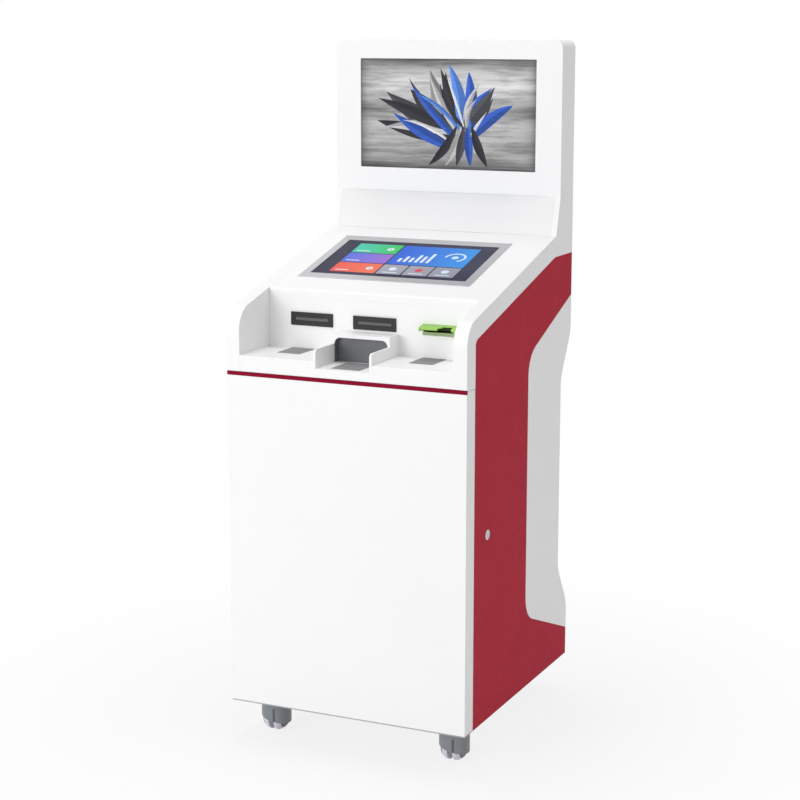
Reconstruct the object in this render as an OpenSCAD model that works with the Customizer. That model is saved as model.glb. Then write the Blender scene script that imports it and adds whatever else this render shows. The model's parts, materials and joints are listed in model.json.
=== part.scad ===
// Self-service kiosk on casters: cabinet with a wrapped door, console bay, sloped console and display head.
// Millimetres, +Z up, front towards -Y. The origin is on the ground under the middle of the footprint.

/* [Cabinet] */
// overall width
body_w = 610; // [560:1:680]
// overall depth
body_d = 670; // [630:1:740]
// height of the cabinet's underside above the ground
floor_z = 96; // [92:1:110]
// height of the seam between door and console
seam_z = 903.5; // [870:0.5:930]
// depth that door and console wrap round the sides
wrap_d = 48.5; // [44:0.5:56]
// thickness of the hollow side panels
panel_t = 34; // [31:1:40]
// outer skin of the side panels
skin_t = 3; // [2.5:0.5:4]
// sheet of covers, rims and flanges
sheet_t = 2; // [1.5:0.5:3]
// plate of the base tray
tray_t = 3; // [2:0.5:5]
// thickness of the red inlays
inlay_t = 1.5; // [1:0.25:2]

/* [Console] */
// slope of the console top, degrees
slope_a = 14.85; // [12:0.05:18]
// height where the slope meets the front plane
slope_z = 1047.3; // [1030:0.1:1070]
// radius of the side walls' front top corner
nose_r = 60; // [45:1:70]
// height of the shelf in the console bay
shelf_z = 945.5; // [935:0.5:960]
// depth of the console bay
bay_d = 147.6; // [130:0.1:160]
// rolled edge between bay and console top
roll_r = 8; // [5:0.5:12]
// distance of the console's back edge from the front plane
knee_d = 555; // [540:1:575]

/* [Head] */
// distance of the head's front from the front plane
head_d = 581; // [570:1:600]
// underside of the head
head_z = 1289; // [1260:1:1320]
// height of the head
head_h = 376; // [350:1:400]
// corner radius at the top of the head
head_r = 20; // [12:1:30]
// front of the head
bezel_t = 3; // [2:0.5:5]
// walls of the head
head_wall = 2.5; // [2:0.5:4]
// visible width of the upper screen
screen_w = 474.6; // [440:0.1:500]
// visible height of the upper screen
screen_h = 272; // [250:0.1:290]
// screen opening above the head's underside
screen_lift = 57; // [45:1:65]
// glass of both screens
glass_t = 4; // [3:0.5:6]
// overlap of the upper glass behind its bezel
glass_lap = 8; // [5:1:12]
// thickness of the upper display
display_t = 28; // [20:1:40]
// setback of the riser under the head
riser_in = 9; // [6:1:24]
// flange of the riser under the head
riser_lap = 20; // [12:1:30]
// side edges beside the riser
riser_edge = 14; // [10:1:20]

/* [Rear] */
// depth of the recess in the back
recess_d = 66; // [50:1:75]
// top of the foot's upright part
foot_z = 237; // [220:1:260]
// lower end of the recess
recess_low = 340; // [320:1:360]
// upper end of the recess
recess_high = 835; // [800:1:850]
// radius of the bends in the back
bend_r = 90; // [60:1:110]
// joint of the rear covers above the shoulder
split_lift = 40; // [32:1:50]
// underside of the shoulder
shoulder_z = 944; // [925:1:960]

/* [Inlay] */
// drop of the inlay's edge below the slope
inlay_drop = 49.2; // [42:0.1:56]
// distance of the inlay's bend from the front plane
inlay_bend = 549; // [535:1:560]
// width of the inlay's upright bar
inlay_bar = 329.5; // [300:0.5:345]
// radius of the inlay's inner corners
notch_r = 73; // [55:1:85]
// radius of the inlay's outer corner
inlay_r = 16; // [8:1:24]
// lower edge of the inlay's upper arm at the back
arm_z = 1038; // [1010:1:1060]
// slope of the upper arm's lower edge, degrees
arm_a = 21.2; // [18:0.1:24]
// upper edge of the inlay's leg at the back
leg_z = 166; // [150:1:190]
// slope of the leg's upper edge, degrees
leg_a = 20.8; // [18:0.1:24]

/* [Door] */
// clearance round the door
door_gap = 1; // [0.8:0.1:1.5]
// hinge axis from the outer face
hinge_in = 6; // [5.5:0.1:7]
// hinge axis in front of the side panel
hinge_fore = 9.5; // [9.3:0.1:11]
// hinge pin radius
pin_r = 3; // [2.5:0.1:3.2]
// running clearance of the pins
run_gap = 0.05; // [0.02:0.01:0.1]
// height of the red trim
trim_h = 9.5; // [7:0.5:12]
// depth of the red trim
trim_t = 4; // [3:0.5:5]
// trim below the seam
trim_drop = 6.4; // [5:0.2:8]
// thickness of the hinge eyes
eye_t = 4; // [3:0.5:6]
// width of the hinge leaves
leaf_w = 22; // [18:1:26]
// height of the hinge leaves
leaf_h = 24; // [18:1:30]

/* [Lock] */
// lock from the front plane
lock_d = 128; // [120:1:140]
// lock above the cabinet's underside
lock_h = 450.6; // [420:0.1:480]
// lock face radius
lock_r = 11; // [10:0.5:12]
// lock barrel radius
barrel_r = 9; // [8:0.25:9.5]
// lock plug radius
plug_r = 5; // [4:0.25:6]
// length of the cam
cam_l = 36; // [32:1:38]
// width of the cam
cam_w = 12; // [9:0.5:13]
// thickness of cam and keeper
cam_t = 3; // [2:0.5:3.5]

/* [Receipt slots] */
// width of a slot bezel
slot_w = 110; // [104:0.5:116]
// height of a slot bezel
slot_h = 31.7; // [28:0.1:36]
// bezel above the shelf
slot_lift = 55.5; // [52:0.5:62]
// middle of the left bezel from the bay's left wall
slot_in = 115.4; // [106:0.1:123]
// middle of the right bezel
slot_right_x = 8.8; // [0:0.1:16]
// bezel in front of the wall
slot_out = 4; // [3:0.5:5]
// width of the paper mouth
mouth_w = 88; // [82:1:92]
// height of the paper mouth
mouth_h = 9; // [8:0.5:11]
// flap thickness
flap_t = 1.2; // [1:0.1:1.6]
// flap pin radius
flap_pin_r = 1; // [0.8:0.05:1.2]

/* [Printers] */
// width of a printer
printer_w = 96; // [94:1:102]
// depth of a printer
printer_d = 80; // [70:1:90]
// height of a printer
printer_h = 84; // [76:1:90]
// paper roll radius
roll_paper_r = 38; // [30:1:40]
// paper roll width
roll_paper_w = 79.5; // [76:0.5:80]
// spindle radius
spindle_r = 6; // [5:0.25:7]
// spindle behind the printer
spindle_d = 50; // [46:1:56]

/* [Card reader] */
// middle of the card mouth from the bay's right wall
card_in = 94; // [86:1:99]
// width of the card mouth
card_w = 90; // [87:1:100]
// card mouth's centre above the shelf
card_lift = 66.5; // [62:0.5:74]
// height of the card mouth at the wall
card_h = 27; // [24:0.5:30]
// height of the card mouth at its front
card_tip = 16; // [13:0.5:19]
// reach of the card mouth
card_out = 27; // [22:0.5:32]
// width of the card slot
card_slot_w = 80.5; // [76:0.5:83]
// height of the card slot
card_slot_h = 3; // [2.5:0.1:3.5]
// half the height of the slot's flared front
card_flare = 3.2; // [2.2:0.1:4]
// depth of the slot's flare
card_flare_d = 15; // [10:0.5:18]
// setback of the lower jaw behind the upper one
jaw_back = 8; // [5:0.5:10]
// how far the lower jaw's front is drawn in on its left
jaw_in = 14; // [8:0.5:18]
// depth of the card reader
reader_d = 110; // [95:1:125]
// height of the card reader
reader_h = 16; // [13:0.5:20]
// depth of the reader's slot
reader_slot_d = 90; // [80:1:94]
// wall beside the reader's slot
reader_wall = 2; // [1.5:0.25:3]
// thumb notch from the middle of the mouth
thumb_x = 2; // [0:0.5:4]
// width of the thumb notch
thumb_w = 34; // [28:1:36]
// depth of the thumb notch
thumb_d = 14; // [10:1:18]
// slant of the thumb notch's inner side
thumb_slant = 9; // [4:0.5:12]

/* [Scanner] */
// middle of the scanner throat
throat_x = -3.5; // [-10:0.5:4]
// outer width of the scanner throat
throat_w = 148; // [140:1:156]
// height of the throat's floor
throat_z = 928.5; // [922:0.5:934]
// wall of hood and cheeks
cheek_t = 5.5; // [4:0.5:7]
// top of the cheeks
cheek_z = 972.3; // [966:0.1:980]
// front corner radius of the cheeks
cheek_r = 10; // [6:0.5:14]
// reach of the hood from the bay's back wall
hood_d = 50; // [44:1:56]
// top of the hood
hood_z = 995.5; // [990:0.5:998]
// height of the hood's mouth
hood_mouth_h = 58.5; // [54:0.5:60]
// corner radius of the hood's mouth
hood_mouth_r = 15; // [10:0.5:20]
// width of the scanner engine
engine_w = 72; // [60:1:84]
// depth of the scanner engine
engine_d = 60; // [50:1:70]
// height of the scanner engine
engine_h = 44; // [36:1:45]
// setback of the scanner window
window_in = 15; // [10:1:20]
// side walls of the scanner window
window_wall = 1.5; // [1:0.25:2.5]
// thickness of the scanner window
window_t = 3; // [2:0.5:4]

/* [Shelf pads] */
// width of the outer pads
pad_w = 59; // [54:0.5:64]
// depth of the outer pads
pad_d = 80; // [74:1:88]
// clearance behind the pads
pad_gap = 2; // [1:0.5:6]
// thickness of the pads
pad_t = 1; // [0.6:0.1:1.5]
// middle of the left pad from the bay's left wall
pad_left_in = 93; // [87:0.5:99]
// middle of the right pad from the bay's right wall
pad_right_in = 109; // [103:0.5:113]
// width of the throat's pad
pad_mid_w = 73; // [66:0.5:80]
// front edge of the throat's pad from the front plane
pad_mid_y = 15; // [8:0.5:16]

/* [Touch screen] */
// frame width
frame_w = 448; // [430:0.5:460]
// frame length along the slope
frame_l = 277.5; // [262:0.5:286]
// frame height above the slope
frame_t = 1.5; // [1:0.25:2.5]
// visible glass width
touch_w = 406; // [390:0.5:415]
// visible glass length along the slope
touch_l = 224.5; // [210:0.5:235]
// middle of the screen along the slope
touch_s = 368.5; // [360:0.5:376]
// middle of the screen across the console
touch_x = -8.8; // [-12:0.1:0]
// overlap of the glass under its frame
touch_lap = 12; // [8:0.5:14]
// thickness of the touch module
touch_t = 22; // [16:1:28]

/* [Casters] */
// wheel radius at the tread
wheel_r = 31; // [28:0.5:32]
// wheel width
wheel_w = 20; // [17:0.5:22]
// radius of the ball that the twin wheels round off to
ball_r = 33; // [32.5:0.25:34]
// gap between the twin wheels
wheel_gap = 13; // [11:0.5:15]
// axle radius
axle_r = 4; // [3:0.25:5]
// trail of the axle behind the kingpin
trail = 18; // [15:0.5:20]
// clearance between wheel and hood
hood_gap = 1.5; // [1:0.25:2.5]
// hood shell
hood_t = 2; // [1.5:0.25:2.5]
// top of the hood below the mounting plate
hood_drop = 15; // [12:0.5:17]
// rim of the hood below the axle
rim_drop = 1; // [0:0.25:4]
// rounding of the hood's top
hood_round = 12; // [8:0.5:16]
// tilt of the hood's rim, degrees
rim_tilt = 14; // [8:1:18]
// groove between the hood's halves from its front, degrees
groove_a = 17; // [12:1:22]
// width of the hood's groove
groove_w = 6; // [4:0.5:7]
// depth of the hood's groove
groove_d = 1; // [0.75:0.05:1.25]
// kingpin radius
king_r = 5; // [4:0.25:6]
// mounting plate
plate_t = 3; // [2:0.5:4]
// mounting plate width
plate_w = 64; // [56:1:66]
// mounting plate depth
plate_d = 64; // [58:1:70]
// front kingpins from the sides of the cabinet
caster_in_x = 67; // [64:1:80]
// rear kingpins from the sides of the cabinet
caster_rear_x = 127; // [118:1:140]
// kingpins from the front and back of the cabinet
caster_in_y = 80; // [72:1:95]
// bolt radius
bolt_r = 3; // [2.5:0.25:3.5]

/* [Equipment] */
// inner ends of computer and power supply from the middle
rack_gap = 20; // [14:1:40]
// computer and power supply behind the middle
rack_y = 40; // [20:1:50]
// computer width
pc_w = 260; // [240:1:280]
// computer depth
pc_d = 240; // [220:1:260]
// computer height
pc_h = 70; // [55:1:85]
// power supply width
psu_w = 140; // [120:1:150]
// power supply depth
psu_d = 170; // [150:1:180]
// power supply height
psu_h = 62; // [50:1:80]
// fan size
fan_s = 120; // [110:1:124]
// fan depth
fan_d = 25; // [22:1:32]
// height of the fan's middle
fan_z = 650; // [620:1:700]
// middle of the fan across the cabinet
fan_x = -120; // [-150:1:-90]
// middle of the power inlet from the side panel
inlet_in = 71; // [56:1:91]
// middle of the inlet's socket above the cabinet's underside
inlet_lift = 44; // [40:1:50]
// rocker width
rocker_w = 20; // [18:0.5:21]
// rocker height
rocker_h = 12.4; // [11:0.2:13]
// rocker tilt at rest, degrees
rocker_a = 8; // [6:0.5:9]
// vent slot length
vent_w = 70; // [60:1:80]
// gap between vent slots
vent_gap = 20; // [14:1:28]
// vent slot height
vent_h = 5; // [4:0.5:6]
// pitch of the vent slots
vent_step = 12; // [10:0.5:14]
// vents above the lower edge of the upper rear cover
vent_lift = 100; // [60:1:130]
// vents above the screen's lower edge
head_vent_lift = 70; // [50:1:90]
// cover screws from the covers' edges
screw_in = 20; // [16:1:26]
// cover screw radius
screw_r = 4; // [3:0.25:4.5]

/* [Hidden] */
$fn = 64;

white = [0.95, 0.95, 0.95];
red = [0.6, 0.12, 0.18];
dark = [0.12, 0.12, 0.13];
grey = [0.45, 0.46, 0.48];
steel = [0.7, 0.7, 0.72];

// reference planes
hw = body_w / 2;
yf = -body_d / 2;
yb = body_d / 2;
xin = hw - panel_t;
xs = hw - skin_t;
yp = yf + wrap_d;
yh = yf + head_d;
yr = yb - recess_d;
ybay = yf + bay_d;
slope_k = tan(slope_a);
knee = [yf + knee_d, slope_z + knee_d * slope_k];
tray_z = floor_z + sheet_t;
deck_z = tray_z + tray_t;
head_top = head_z + head_h;
cut = 1;
seat_gap = 0.05;
bend_step = 6;
card_x = xin - card_in;
inlet_x = xin - inlet_in;
slot_left_x = slot_in - xin;
pad_left_x = pad_left_in - xin;
pad_right_x = xin - pad_right_in;

// door values
trim_z = seam_z - trim_drop;
trim_gap = 0.7;
apron_z = trim_z + trim_h + trim_gap;
lip_d = trim_t + door_gap;
hx = -hw + hinge_in;
hy = yp - hinge_fore;
hinge_gap = 3;
flange_y = yp - hinge_gap - 0.5;
eye_r = hinge_in - 0.5;
notch_y = hy - eye_r - 3;

// outline of the kiosk's side in (y, z), walked clockwise
side_sharp = [[yp, floor_z], [yp, seam_z], [yf + lip_d, seam_z], [yf + lip_d, apron_z], [yf, apron_z],
    [yf, slope_z], knee, [yh, head_z], [yb, head_z], [yb, shoulder_z], [yr, recess_high],
    [yr, recess_low], [yb, foot_z], [yb, floor_z]];

function unit(v) = v / norm(v);
function inward(a, b) = let (u = unit(b - a)) [u[1], -u[0]];
function meet(p, u, q, v) =
    p + u * (((q[0] - p[0]) * v[1] - (q[1] - p[1]) * v[0]) / (u[0] * v[1] - u[1] * v[0]));
function inset(pts, d) = let (n = len(pts)) [for (i = [0:n - 1])
    let (a = pts[(i + n - 1) % n], b = pts[i], c = pts[(i + 1) % n])
    meet(b + d * inward(a, b), b - a, b + d * inward(b, c), c - b)];
function slope_at(y) = slope_z + (y - yf) * slope_k;

module yz(x0, x1) { translate([x0, 0, 0]) rotate([90, 0, 90]) linear_extrude(x1 - x0) children(); }
module xz(y0, y1) { translate([0, y1, 0]) rotate([90, 0, 0]) linear_extrude(y1 - y0) children(); }
module box(x0, x1, y0, y1, z0, z1) { translate([x0, y0, z0]) cube([x1 - x0, y1 - y0, z1 - z0]); }
module rod_x(x0, x1, y, z, r) { translate([x0, y, z]) rotate([0, 90, 0]) cylinder(r = r, h = x1 - x0); }
module rod_y(y0, y1, x, z, r) { translate([x, y1, z]) rotate([90, 0, 0]) cylinder(r = r, h = y1 - y0); }
module slope() { translate([0, yf, slope_z]) rotate([slope_a, 0, 0]) children(); }
// points of a bend of radius r in place of corner i of a closed outline
function bend(pts, i, r) = let (n = len(pts), p = pts[i], u = unit(pts[(i + n - 1) % n] - p),
    v = unit(pts[(i + 1) % n] - p), half = acos(u * v) / 2, turn = 180 - 2 * half,
    m = ceil(turn / bend_step), c = p + unit(u + v) * r / sin(half),
    a = p + u * r / tan(half) - c, b = p + v * r / tan(half) - c)
    [for (k = [0:m]) c + (a * sin(turn * (1 - k / m)) + b * sin(turn * k / m)) / sin(turn)];
// an outline with the radius of each corner, 0 for a sharp one
function rounded(pts, radii) =
    [for (i = [0:len(pts) - 1]) each radii[i] > 0 ? bend(pts, i, radii[i]) : [pts[i]]];
module side_shape(d) polygon(rounded(inset(side_sharp, d), [0, 0, 0, 0, 0, nose_r - d, 0, 0, 0,
    bend_r - d, bend_r + d, bend_r + d, bend_r - d, 0]));
module band(y0, y1, z0, z1) {
    intersection() {
        difference() {
            yz(-xin, xin) side_shape(0);
            yz(-xin - cut, xin + cut) side_shape(sheet_t);
        }
        box(-xin, xin, y0, y1, z0, z1);
    }
}

// base

module base_tray() color(grey) difference() {
    box(-xs, xs, yp + sheet_t, yb - sheet_t, tray_z, deck_z);
    caster_spots() plate_spots() translate([0, 0, tray_z - cut]) cylinder(r = bolt_r, h = tray_t + 2 * cut);
}

// side panels

inlay_top = slope_at(yf + inlay_bend) - inlay_drop;
yn = yp + inlay_bar;
inlay_sharp = [[yp, floor_z], [yp, slope_at(yp) - inlay_drop], [yf + inlay_bend, inlay_top], [yb, inlay_top],
    [yb, arm_z], [yn, arm_z - (yb - yn) * tan(arm_a)], [yn, leg_z + (yb - yn) * tan(leg_a)],
    [yb, leg_z], [yb, floor_z]];

module inlay_shape() polygon(rounded(inlay_sharp, [0, inlay_r, 0, 0, 0, notch_r, notch_r, 0, 0]));

lock_y = yf + lock_d;
lock_z = floor_z + lock_h;
keeper_z = lock_z + cam_w / 2 + 12;
keeper_h = 20;
keeper_x = xin + 11;

module panel() difference() {
    yz(xin, hw) side_shape(0);
    yz(xin - cut, xs) side_shape(sheet_t);
    yz(hw - inlay_t, hw + cut) inlay_shape();
    box(xin - cut, hw - riser_edge, knee[0], yh + riser_in, knee[1], head_z - sheet_t);
}
module side_panel_left() color(white) mirror([1, 0, 0]) panel();
module side_panel_right() color(white) difference() {
    panel();
    rod_x(xin, hw, lock_y, lock_z, barrel_r);
    box(xin - cut, xs, yp - cut, yp + sheet_t + cut, keeper_z - 8, keeper_z + keeper_h + 8);
}
module side_inlay_left() color(red) mirror([1, 0, 0]) yz(hw - inlay_t, hw) inlay_shape();
module side_inlay_right() color(red) difference() {
    yz(hw - inlay_t, hw) inlay_shape();
    rod_x(xin, hw + cut, lock_y, lock_z, lock_r);
}

// rear covers

inlet_z = floor_z + inlet_lift;
rocker_z = inlet_z + 32;
inlet_hw = 25;
inlet_low = inlet_z - 18;
inlet_high = rocker_z + 18;
vents = 8;
vent_pitch = vent_w + vent_gap;

module vent_rows(y0, y1, z) for (x = [-1, 0, 1], i = [0:vents - 1])
    box(x * vent_pitch - vent_w / 2, x * vent_pitch + vent_w / 2, y0, y1,
        z + i * vent_step, z + i * vent_step + vent_h);
screw_dx = xin - screw_in;
foot_screw = floor_z + (foot_z - floor_z) * 0.6;
split_z = shoulder_z + split_lift;
rear_screws = [for (x = [-screw_dx, screw_dx]) each [[x, yb, floor_z + screw_in], [x, yb, foot_screw],
    [x, yb, split_z + screw_in], [x, yb, head_z - screw_in]]];
back_screws = [for (x = [-1, 1], z = [head_z + head_r + 5, head_top - head_r - 5])
    [x * (hw - head_r - 5), yb, z]];
module screw_holes(list) for (p = list) rod_y(p[1] - sheet_t - cut, p[1] + cut, p[0], p[2], screw_r);

module rear_cover() color(white) difference() {
    band(0, yb, floor_z, split_z);
    box(-xin, xin, 0, yb - 2 * sheet_t, floor_z - cut, tray_z + cut);
    box(inlet_x - inlet_hw, inlet_x + inlet_hw, yb - sheet_t - cut, yb + cut, inlet_low, inlet_high);
    for (i = [-4:4])
        box(fan_x - 42, fan_x + 42, yr - sheet_t - cut, yr + cut, fan_z + i * 10 - 2.5, fan_z + i * 10 + 2.5);
    screw_holes(rear_screws);
}
module rear_upper_cover() color(white) difference() {
    box(-xin, xin, yb - sheet_t, yb, split_z, head_z);
    vent_rows(yb - sheet_t - cut, yb + cut, split_z + vent_lift);
    screw_holes(rear_screws);
}

// console

tx0 = throat_x - throat_w / 2;
tx1 = throat_x + throat_w / 2;
yc = ybay - hood_d;

module console_shelf() color(white) {
    difference() {
        union() {
            box(-xin, xin, yf, yf + sheet_t, apron_z, shelf_z);
            box(-xin, xin, yf, yf + lip_d + sheet_t, apron_z, apron_z + sheet_t);
            box(-xin, xin, yf + lip_d, yf + lip_d + sheet_t, seam_z, apron_z + sheet_t);
            box(-xin, xin, yf, ybay, shelf_z - sheet_t, shelf_z);
        }
        box(tx0, tx1, yf - cut, ybay + cut, throat_z, shelf_z + cut);
    }
    box(tx0 - sheet_t, tx1 + sheet_t, yf, ybay, throat_z - sheet_t, throat_z);
    for (x = [tx0 - sheet_t, tx1]) box(x, x + sheet_t, yf, ybay, throat_z - sheet_t, shelf_z);
}

slot_z = shelf_z + slot_lift + slot_h / 2;
card_z = shelf_z + card_lift;
slot_body_w = slot_w - 10;
slot_body_h = slot_h - 8;
roll_c = [ybay + roll_r, slope_at(ybay + roll_r) - roll_r / cos(slope_a)];
skirt_z = roll_c[1] - 12;

module hood_mouth(grow = 0, inner = 0) translate([throat_x, throat_z]) {
    w = throat_w / 2 - cheek_t - inner;
    h = hood_mouth_h - inner;
    r = hood_mouth_r - inner;
    polygon(rounded([[-w, -grow], [-w, h], [w, h], [w, -grow]], [0, r, r, 0]));
}

module bay_back() color(white) difference() {
    box(-xin, xin, ybay, ybay + sheet_t, throat_z - sheet_t, skirt_z);
    for (x = [slot_left_x, slot_right_x]) box(x - slot_body_w / 2, x + slot_body_w / 2, ybay - cut,
        ybay + sheet_t + cut, slot_z - slot_body_h / 2, slot_z + slot_body_h / 2);
    box(card_x - card_slot_w / 2 - reader_wall, card_x + card_slot_w / 2 + reader_wall, ybay - cut,
        ybay + sheet_t + cut, card_z - reader_h / 2, card_z + reader_h / 2);
    xz(ybay - cut, ybay + sheet_t + cut) hood_mouth();
}

touch_y0 = touch_s - touch_l / 2 - touch_lap;
touch_y1 = touch_s + touch_l / 2 + touch_lap;
touch_x0 = touch_x - touch_w / 2 - touch_lap;
touch_x1 = touch_x + touch_w / 2 + touch_lap;

module console_top() color(white) {
    difference() {
        band(roll_c[0] - roll_r * sin(slope_a), knee[0], skirt_z, knee[1] + cut);
        slope() box(touch_x0, touch_x1, touch_y0, touch_y1, -20, 20);
    }
    rod_x(-xin, xin, roll_c[0], roll_c[1], roll_r);
    box(-xin, xin, ybay, ybay + sheet_t, skirt_z, roll_c[1]);
}

module liner() yz(xin, xin + sheet_t) intersection() {
    side_shape(sheet_t);
    translate([yf, shelf_z - sheet_t]) square([bay_d, slope_z]);
}
module bay_liner_right() color(white) liner();
module bay_liner_left() color(white) mirror([1, 0, 0]) liner();

riser_top = head_z - sheet_t;
riser_y = yh + riser_in;
edge_y = knee[0] + (yh - knee[0]) * (riser_top - knee[1]) / (head_z - knee[1]);

module riser() color(white) {
    w = hw - riser_edge;
    yz(-w, w)
        polygon([knee, [riser_y, riser_top], [riser_y + sheet_t, riser_top], [knee[0] + sheet_t, knee[1]]]);
    for (x = [-w, w - sheet_t]) yz(x, x + sheet_t) polygon([knee, [edge_y, riser_top], [riser_y, riser_top]]);
    box(-xin, xin, riser_y, riser_y + riser_lap, riser_top, head_z);
}

// head

module head_shape(d) {
    w = hw - d;
    t = head_top - d;
    polygon(rounded([[-w, head_z + d], [-w, t], [w, t], [w, head_z + d]], [0, head_r - d, head_r - d, 0]));
}
screen_z = head_z + screen_lift;

module head_shell() color(white) difference() {
    xz(yh, yb) head_shape(0);
    xz(yh + bezel_t, yb + cut) head_shape(head_wall);
    box(-screen_w / 2, screen_w / 2, yh - cut, yh + bezel_t + cut, screen_z, screen_z + screen_h);
    box(-60, 60, yh + bezel_t + glass_t + display_t + 5, yb - 2 * sheet_t,
        head_z - cut, head_z + head_wall + cut);
}
module head_back() color(white) difference() {
    xz(yb - sheet_t, yb) head_shape(head_wall);
    vent_rows(yb - sheet_t - cut, yb + cut, screen_z + head_vent_lift);
    screw_holes(back_screws);
}
module upper_glass() color(dark) box(-screen_w / 2 - glass_lap, screen_w / 2 + glass_lap, yh + bezel_t,
    yh + bezel_t + glass_t, screen_z - glass_lap, screen_z + screen_h + glass_lap);
module upper_display() color(grey) {
    y = yh + bezel_t + glass_t;
    box(-screen_w / 2 - glass_lap, screen_w / 2 + glass_lap, y, y + display_t / 2, screen_z - glass_lap,
        screen_z + screen_h + glass_lap);
    box(-screen_w / 2 + 30, screen_w / 2 - 30, y + display_t / 2, y + display_t,
        screen_z + 20, screen_z + screen_h - 20);
}

// touch screen

module touch_frame() color(steel) slope() difference() {
    box(touch_x - frame_w / 2, touch_x + frame_w / 2, touch_s - frame_l / 2, touch_s + frame_l / 2,
        seat_gap, frame_t);
    box(touch_x - touch_w / 2, touch_x + touch_w / 2, touch_s - touch_l / 2, touch_s + touch_l / 2,
        -cut, frame_t + cut);
}
module touch_glass() color(dark) slope() box(touch_x0, touch_x1, touch_y0, touch_y1, -glass_t, 0);
module touch_module() color(grey) slope()
    box(touch_x0, touch_x1, touch_y0, touch_y1, -glass_t - touch_t, -glass_t);

// receipt slots

flap_y = ybay - slot_out / 2;
flap_hz = mouth_h / 2 - flap_pin_r - 0.5;
bezel_back = ybay + sheet_t + 4;

module slot_bezel(x) color(dark) difference() {
    union() {
        box(x - slot_w / 2, x + slot_w / 2, ybay - slot_out, ybay, slot_z - slot_h / 2, slot_z + slot_h / 2);
        box(x - slot_body_w / 2, x + slot_body_w / 2, ybay, bezel_back,
            slot_z - slot_body_h / 2, slot_z + slot_body_h / 2);
    }
    box(x - mouth_w / 2, x + mouth_w / 2, ybay - slot_out - cut, bezel_back + cut,
        slot_z - mouth_h / 2, slot_z + mouth_h / 2);
    rod_x(x - mouth_w / 2 - 3, x + mouth_w / 2 + 3, flap_y, slot_z + flap_hz, flap_pin_r + run_gap);
}
module slot_flap(x) color(grey) {
    box(x - mouth_w / 2 + 0.6, x + mouth_w / 2 - 0.6, flap_y - flap_t / 2, flap_y + flap_t / 2,
        slot_z - mouth_h / 2 + 0.5, slot_z + flap_hz);
    rod_x(x - mouth_w / 2 - 2.5, x + mouth_w / 2 + 2.5, flap_y, slot_z + flap_hz, flap_pin_r);
}
module slot_bezel_left() slot_bezel(slot_left_x);
module slot_bezel_right() slot_bezel(slot_right_x);
module slot_flap_left() slot_flap(slot_left_x);
module slot_flap_right() slot_flap(slot_right_x);

// printers

printer_back = bezel_back + printer_d;
spindle_y = printer_back + spindle_d;
arm_t = 3;
arm_x = roll_paper_w / 2 + 1;

module printer(x) color(grey) {
    difference() {
        box(x - printer_w / 2, x + printer_w / 2, bezel_back, printer_back,
            slot_z - printer_h / 2, slot_z + printer_h / 2);
        box(x - mouth_w / 2, x + mouth_w / 2, bezel_back - cut, bezel_back + 12,
            slot_z - mouth_h / 2, slot_z + mouth_h / 2);
    }
    for (s = [-1, 1]) box(x - printer_w / 2, x + printer_w / 2, ybay + sheet_t, bezel_back,
        slot_z + s * (slot_body_h / 2 + 8) - 5, slot_z + s * (slot_body_h / 2 + 8) + 5);
    for (a = [x - arm_x - arm_t, x + arm_x]) box(a, a + arm_t, printer_back, spindle_y + spindle_r + 4,
        slot_z - spindle_r - 4, slot_z + spindle_r + 4);
    rod_x(x - arm_x, x + arm_x, spindle_y, slot_z, spindle_r);
}
module paper_roll(x) color(white) difference() {
    rod_x(x - roll_paper_w / 2, x + roll_paper_w / 2, spindle_y, slot_z, roll_paper_r);
    rod_x(x - roll_paper_w, x + roll_paper_w, spindle_y, slot_z, spindle_r + run_gap);
}
module printer_left() printer(slot_left_x);
module printer_right() printer(slot_right_x);
module paper_roll_left() paper_roll(slot_left_x);
module paper_roll_right() paper_roll(slot_right_x);

// card reader

card_y = ybay - card_out;
jaw_y = card_y + jaw_back;

module card_bezel() color([0.5, 0.75, 0.2]) difference() {
    union() {
        yz(card_x - card_w / 2, card_x + card_w / 2)
            polygon([[ybay, card_z], [ybay, card_z + card_h / 2],
                [card_y, card_z + card_tip / 2], [card_y, card_z]]);
        difference() {
            yz(card_x - card_w / 2, card_x + card_w / 2)
                polygon([[ybay, card_z + 1], [jaw_y, card_z + 1], [jaw_y, card_z - card_tip / 2],
                    [ybay, card_z - card_h / 2]]);
            translate([card_x - card_w / 2, 0, card_z - card_h]) linear_extrude(card_h + 2)
                polygon([[-cut, ybay - 2], [jaw_in, jaw_y - cut], [-cut, jaw_y - cut]]);
        }
    }
    yz(card_x - card_slot_w / 2, card_x + card_slot_w / 2)
        polygon([[card_y - cut, card_z + card_flare], [card_y + card_flare_d, card_z + card_slot_h / 2],
            [ybay + cut, card_z + card_slot_h / 2], [ybay + cut, card_z - card_slot_h / 2],
            [card_y + card_flare_d, card_z - card_slot_h / 2], [card_y - cut, card_z - card_flare]]);
    translate([card_x + thumb_x, card_y, card_z]) linear_extrude(card_h)
        polygon([[0, -cut], [0, 0], [thumb_slant, thumb_d], [thumb_w, thumb_d], [thumb_w, -cut]]);
}
module card_reader() color(grey) difference() {
    box(card_x - card_slot_w / 2 - reader_wall, card_x + card_slot_w / 2 + reader_wall, ybay, ybay + reader_d,
        card_z - reader_h / 2, card_z + reader_h / 2);
    box(card_x - card_slot_w / 2, card_x + card_slot_w / 2, ybay - cut, ybay + reader_slot_d,
        card_z - card_slot_h / 2, card_z + card_slot_h / 2);
}

// scanner

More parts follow.
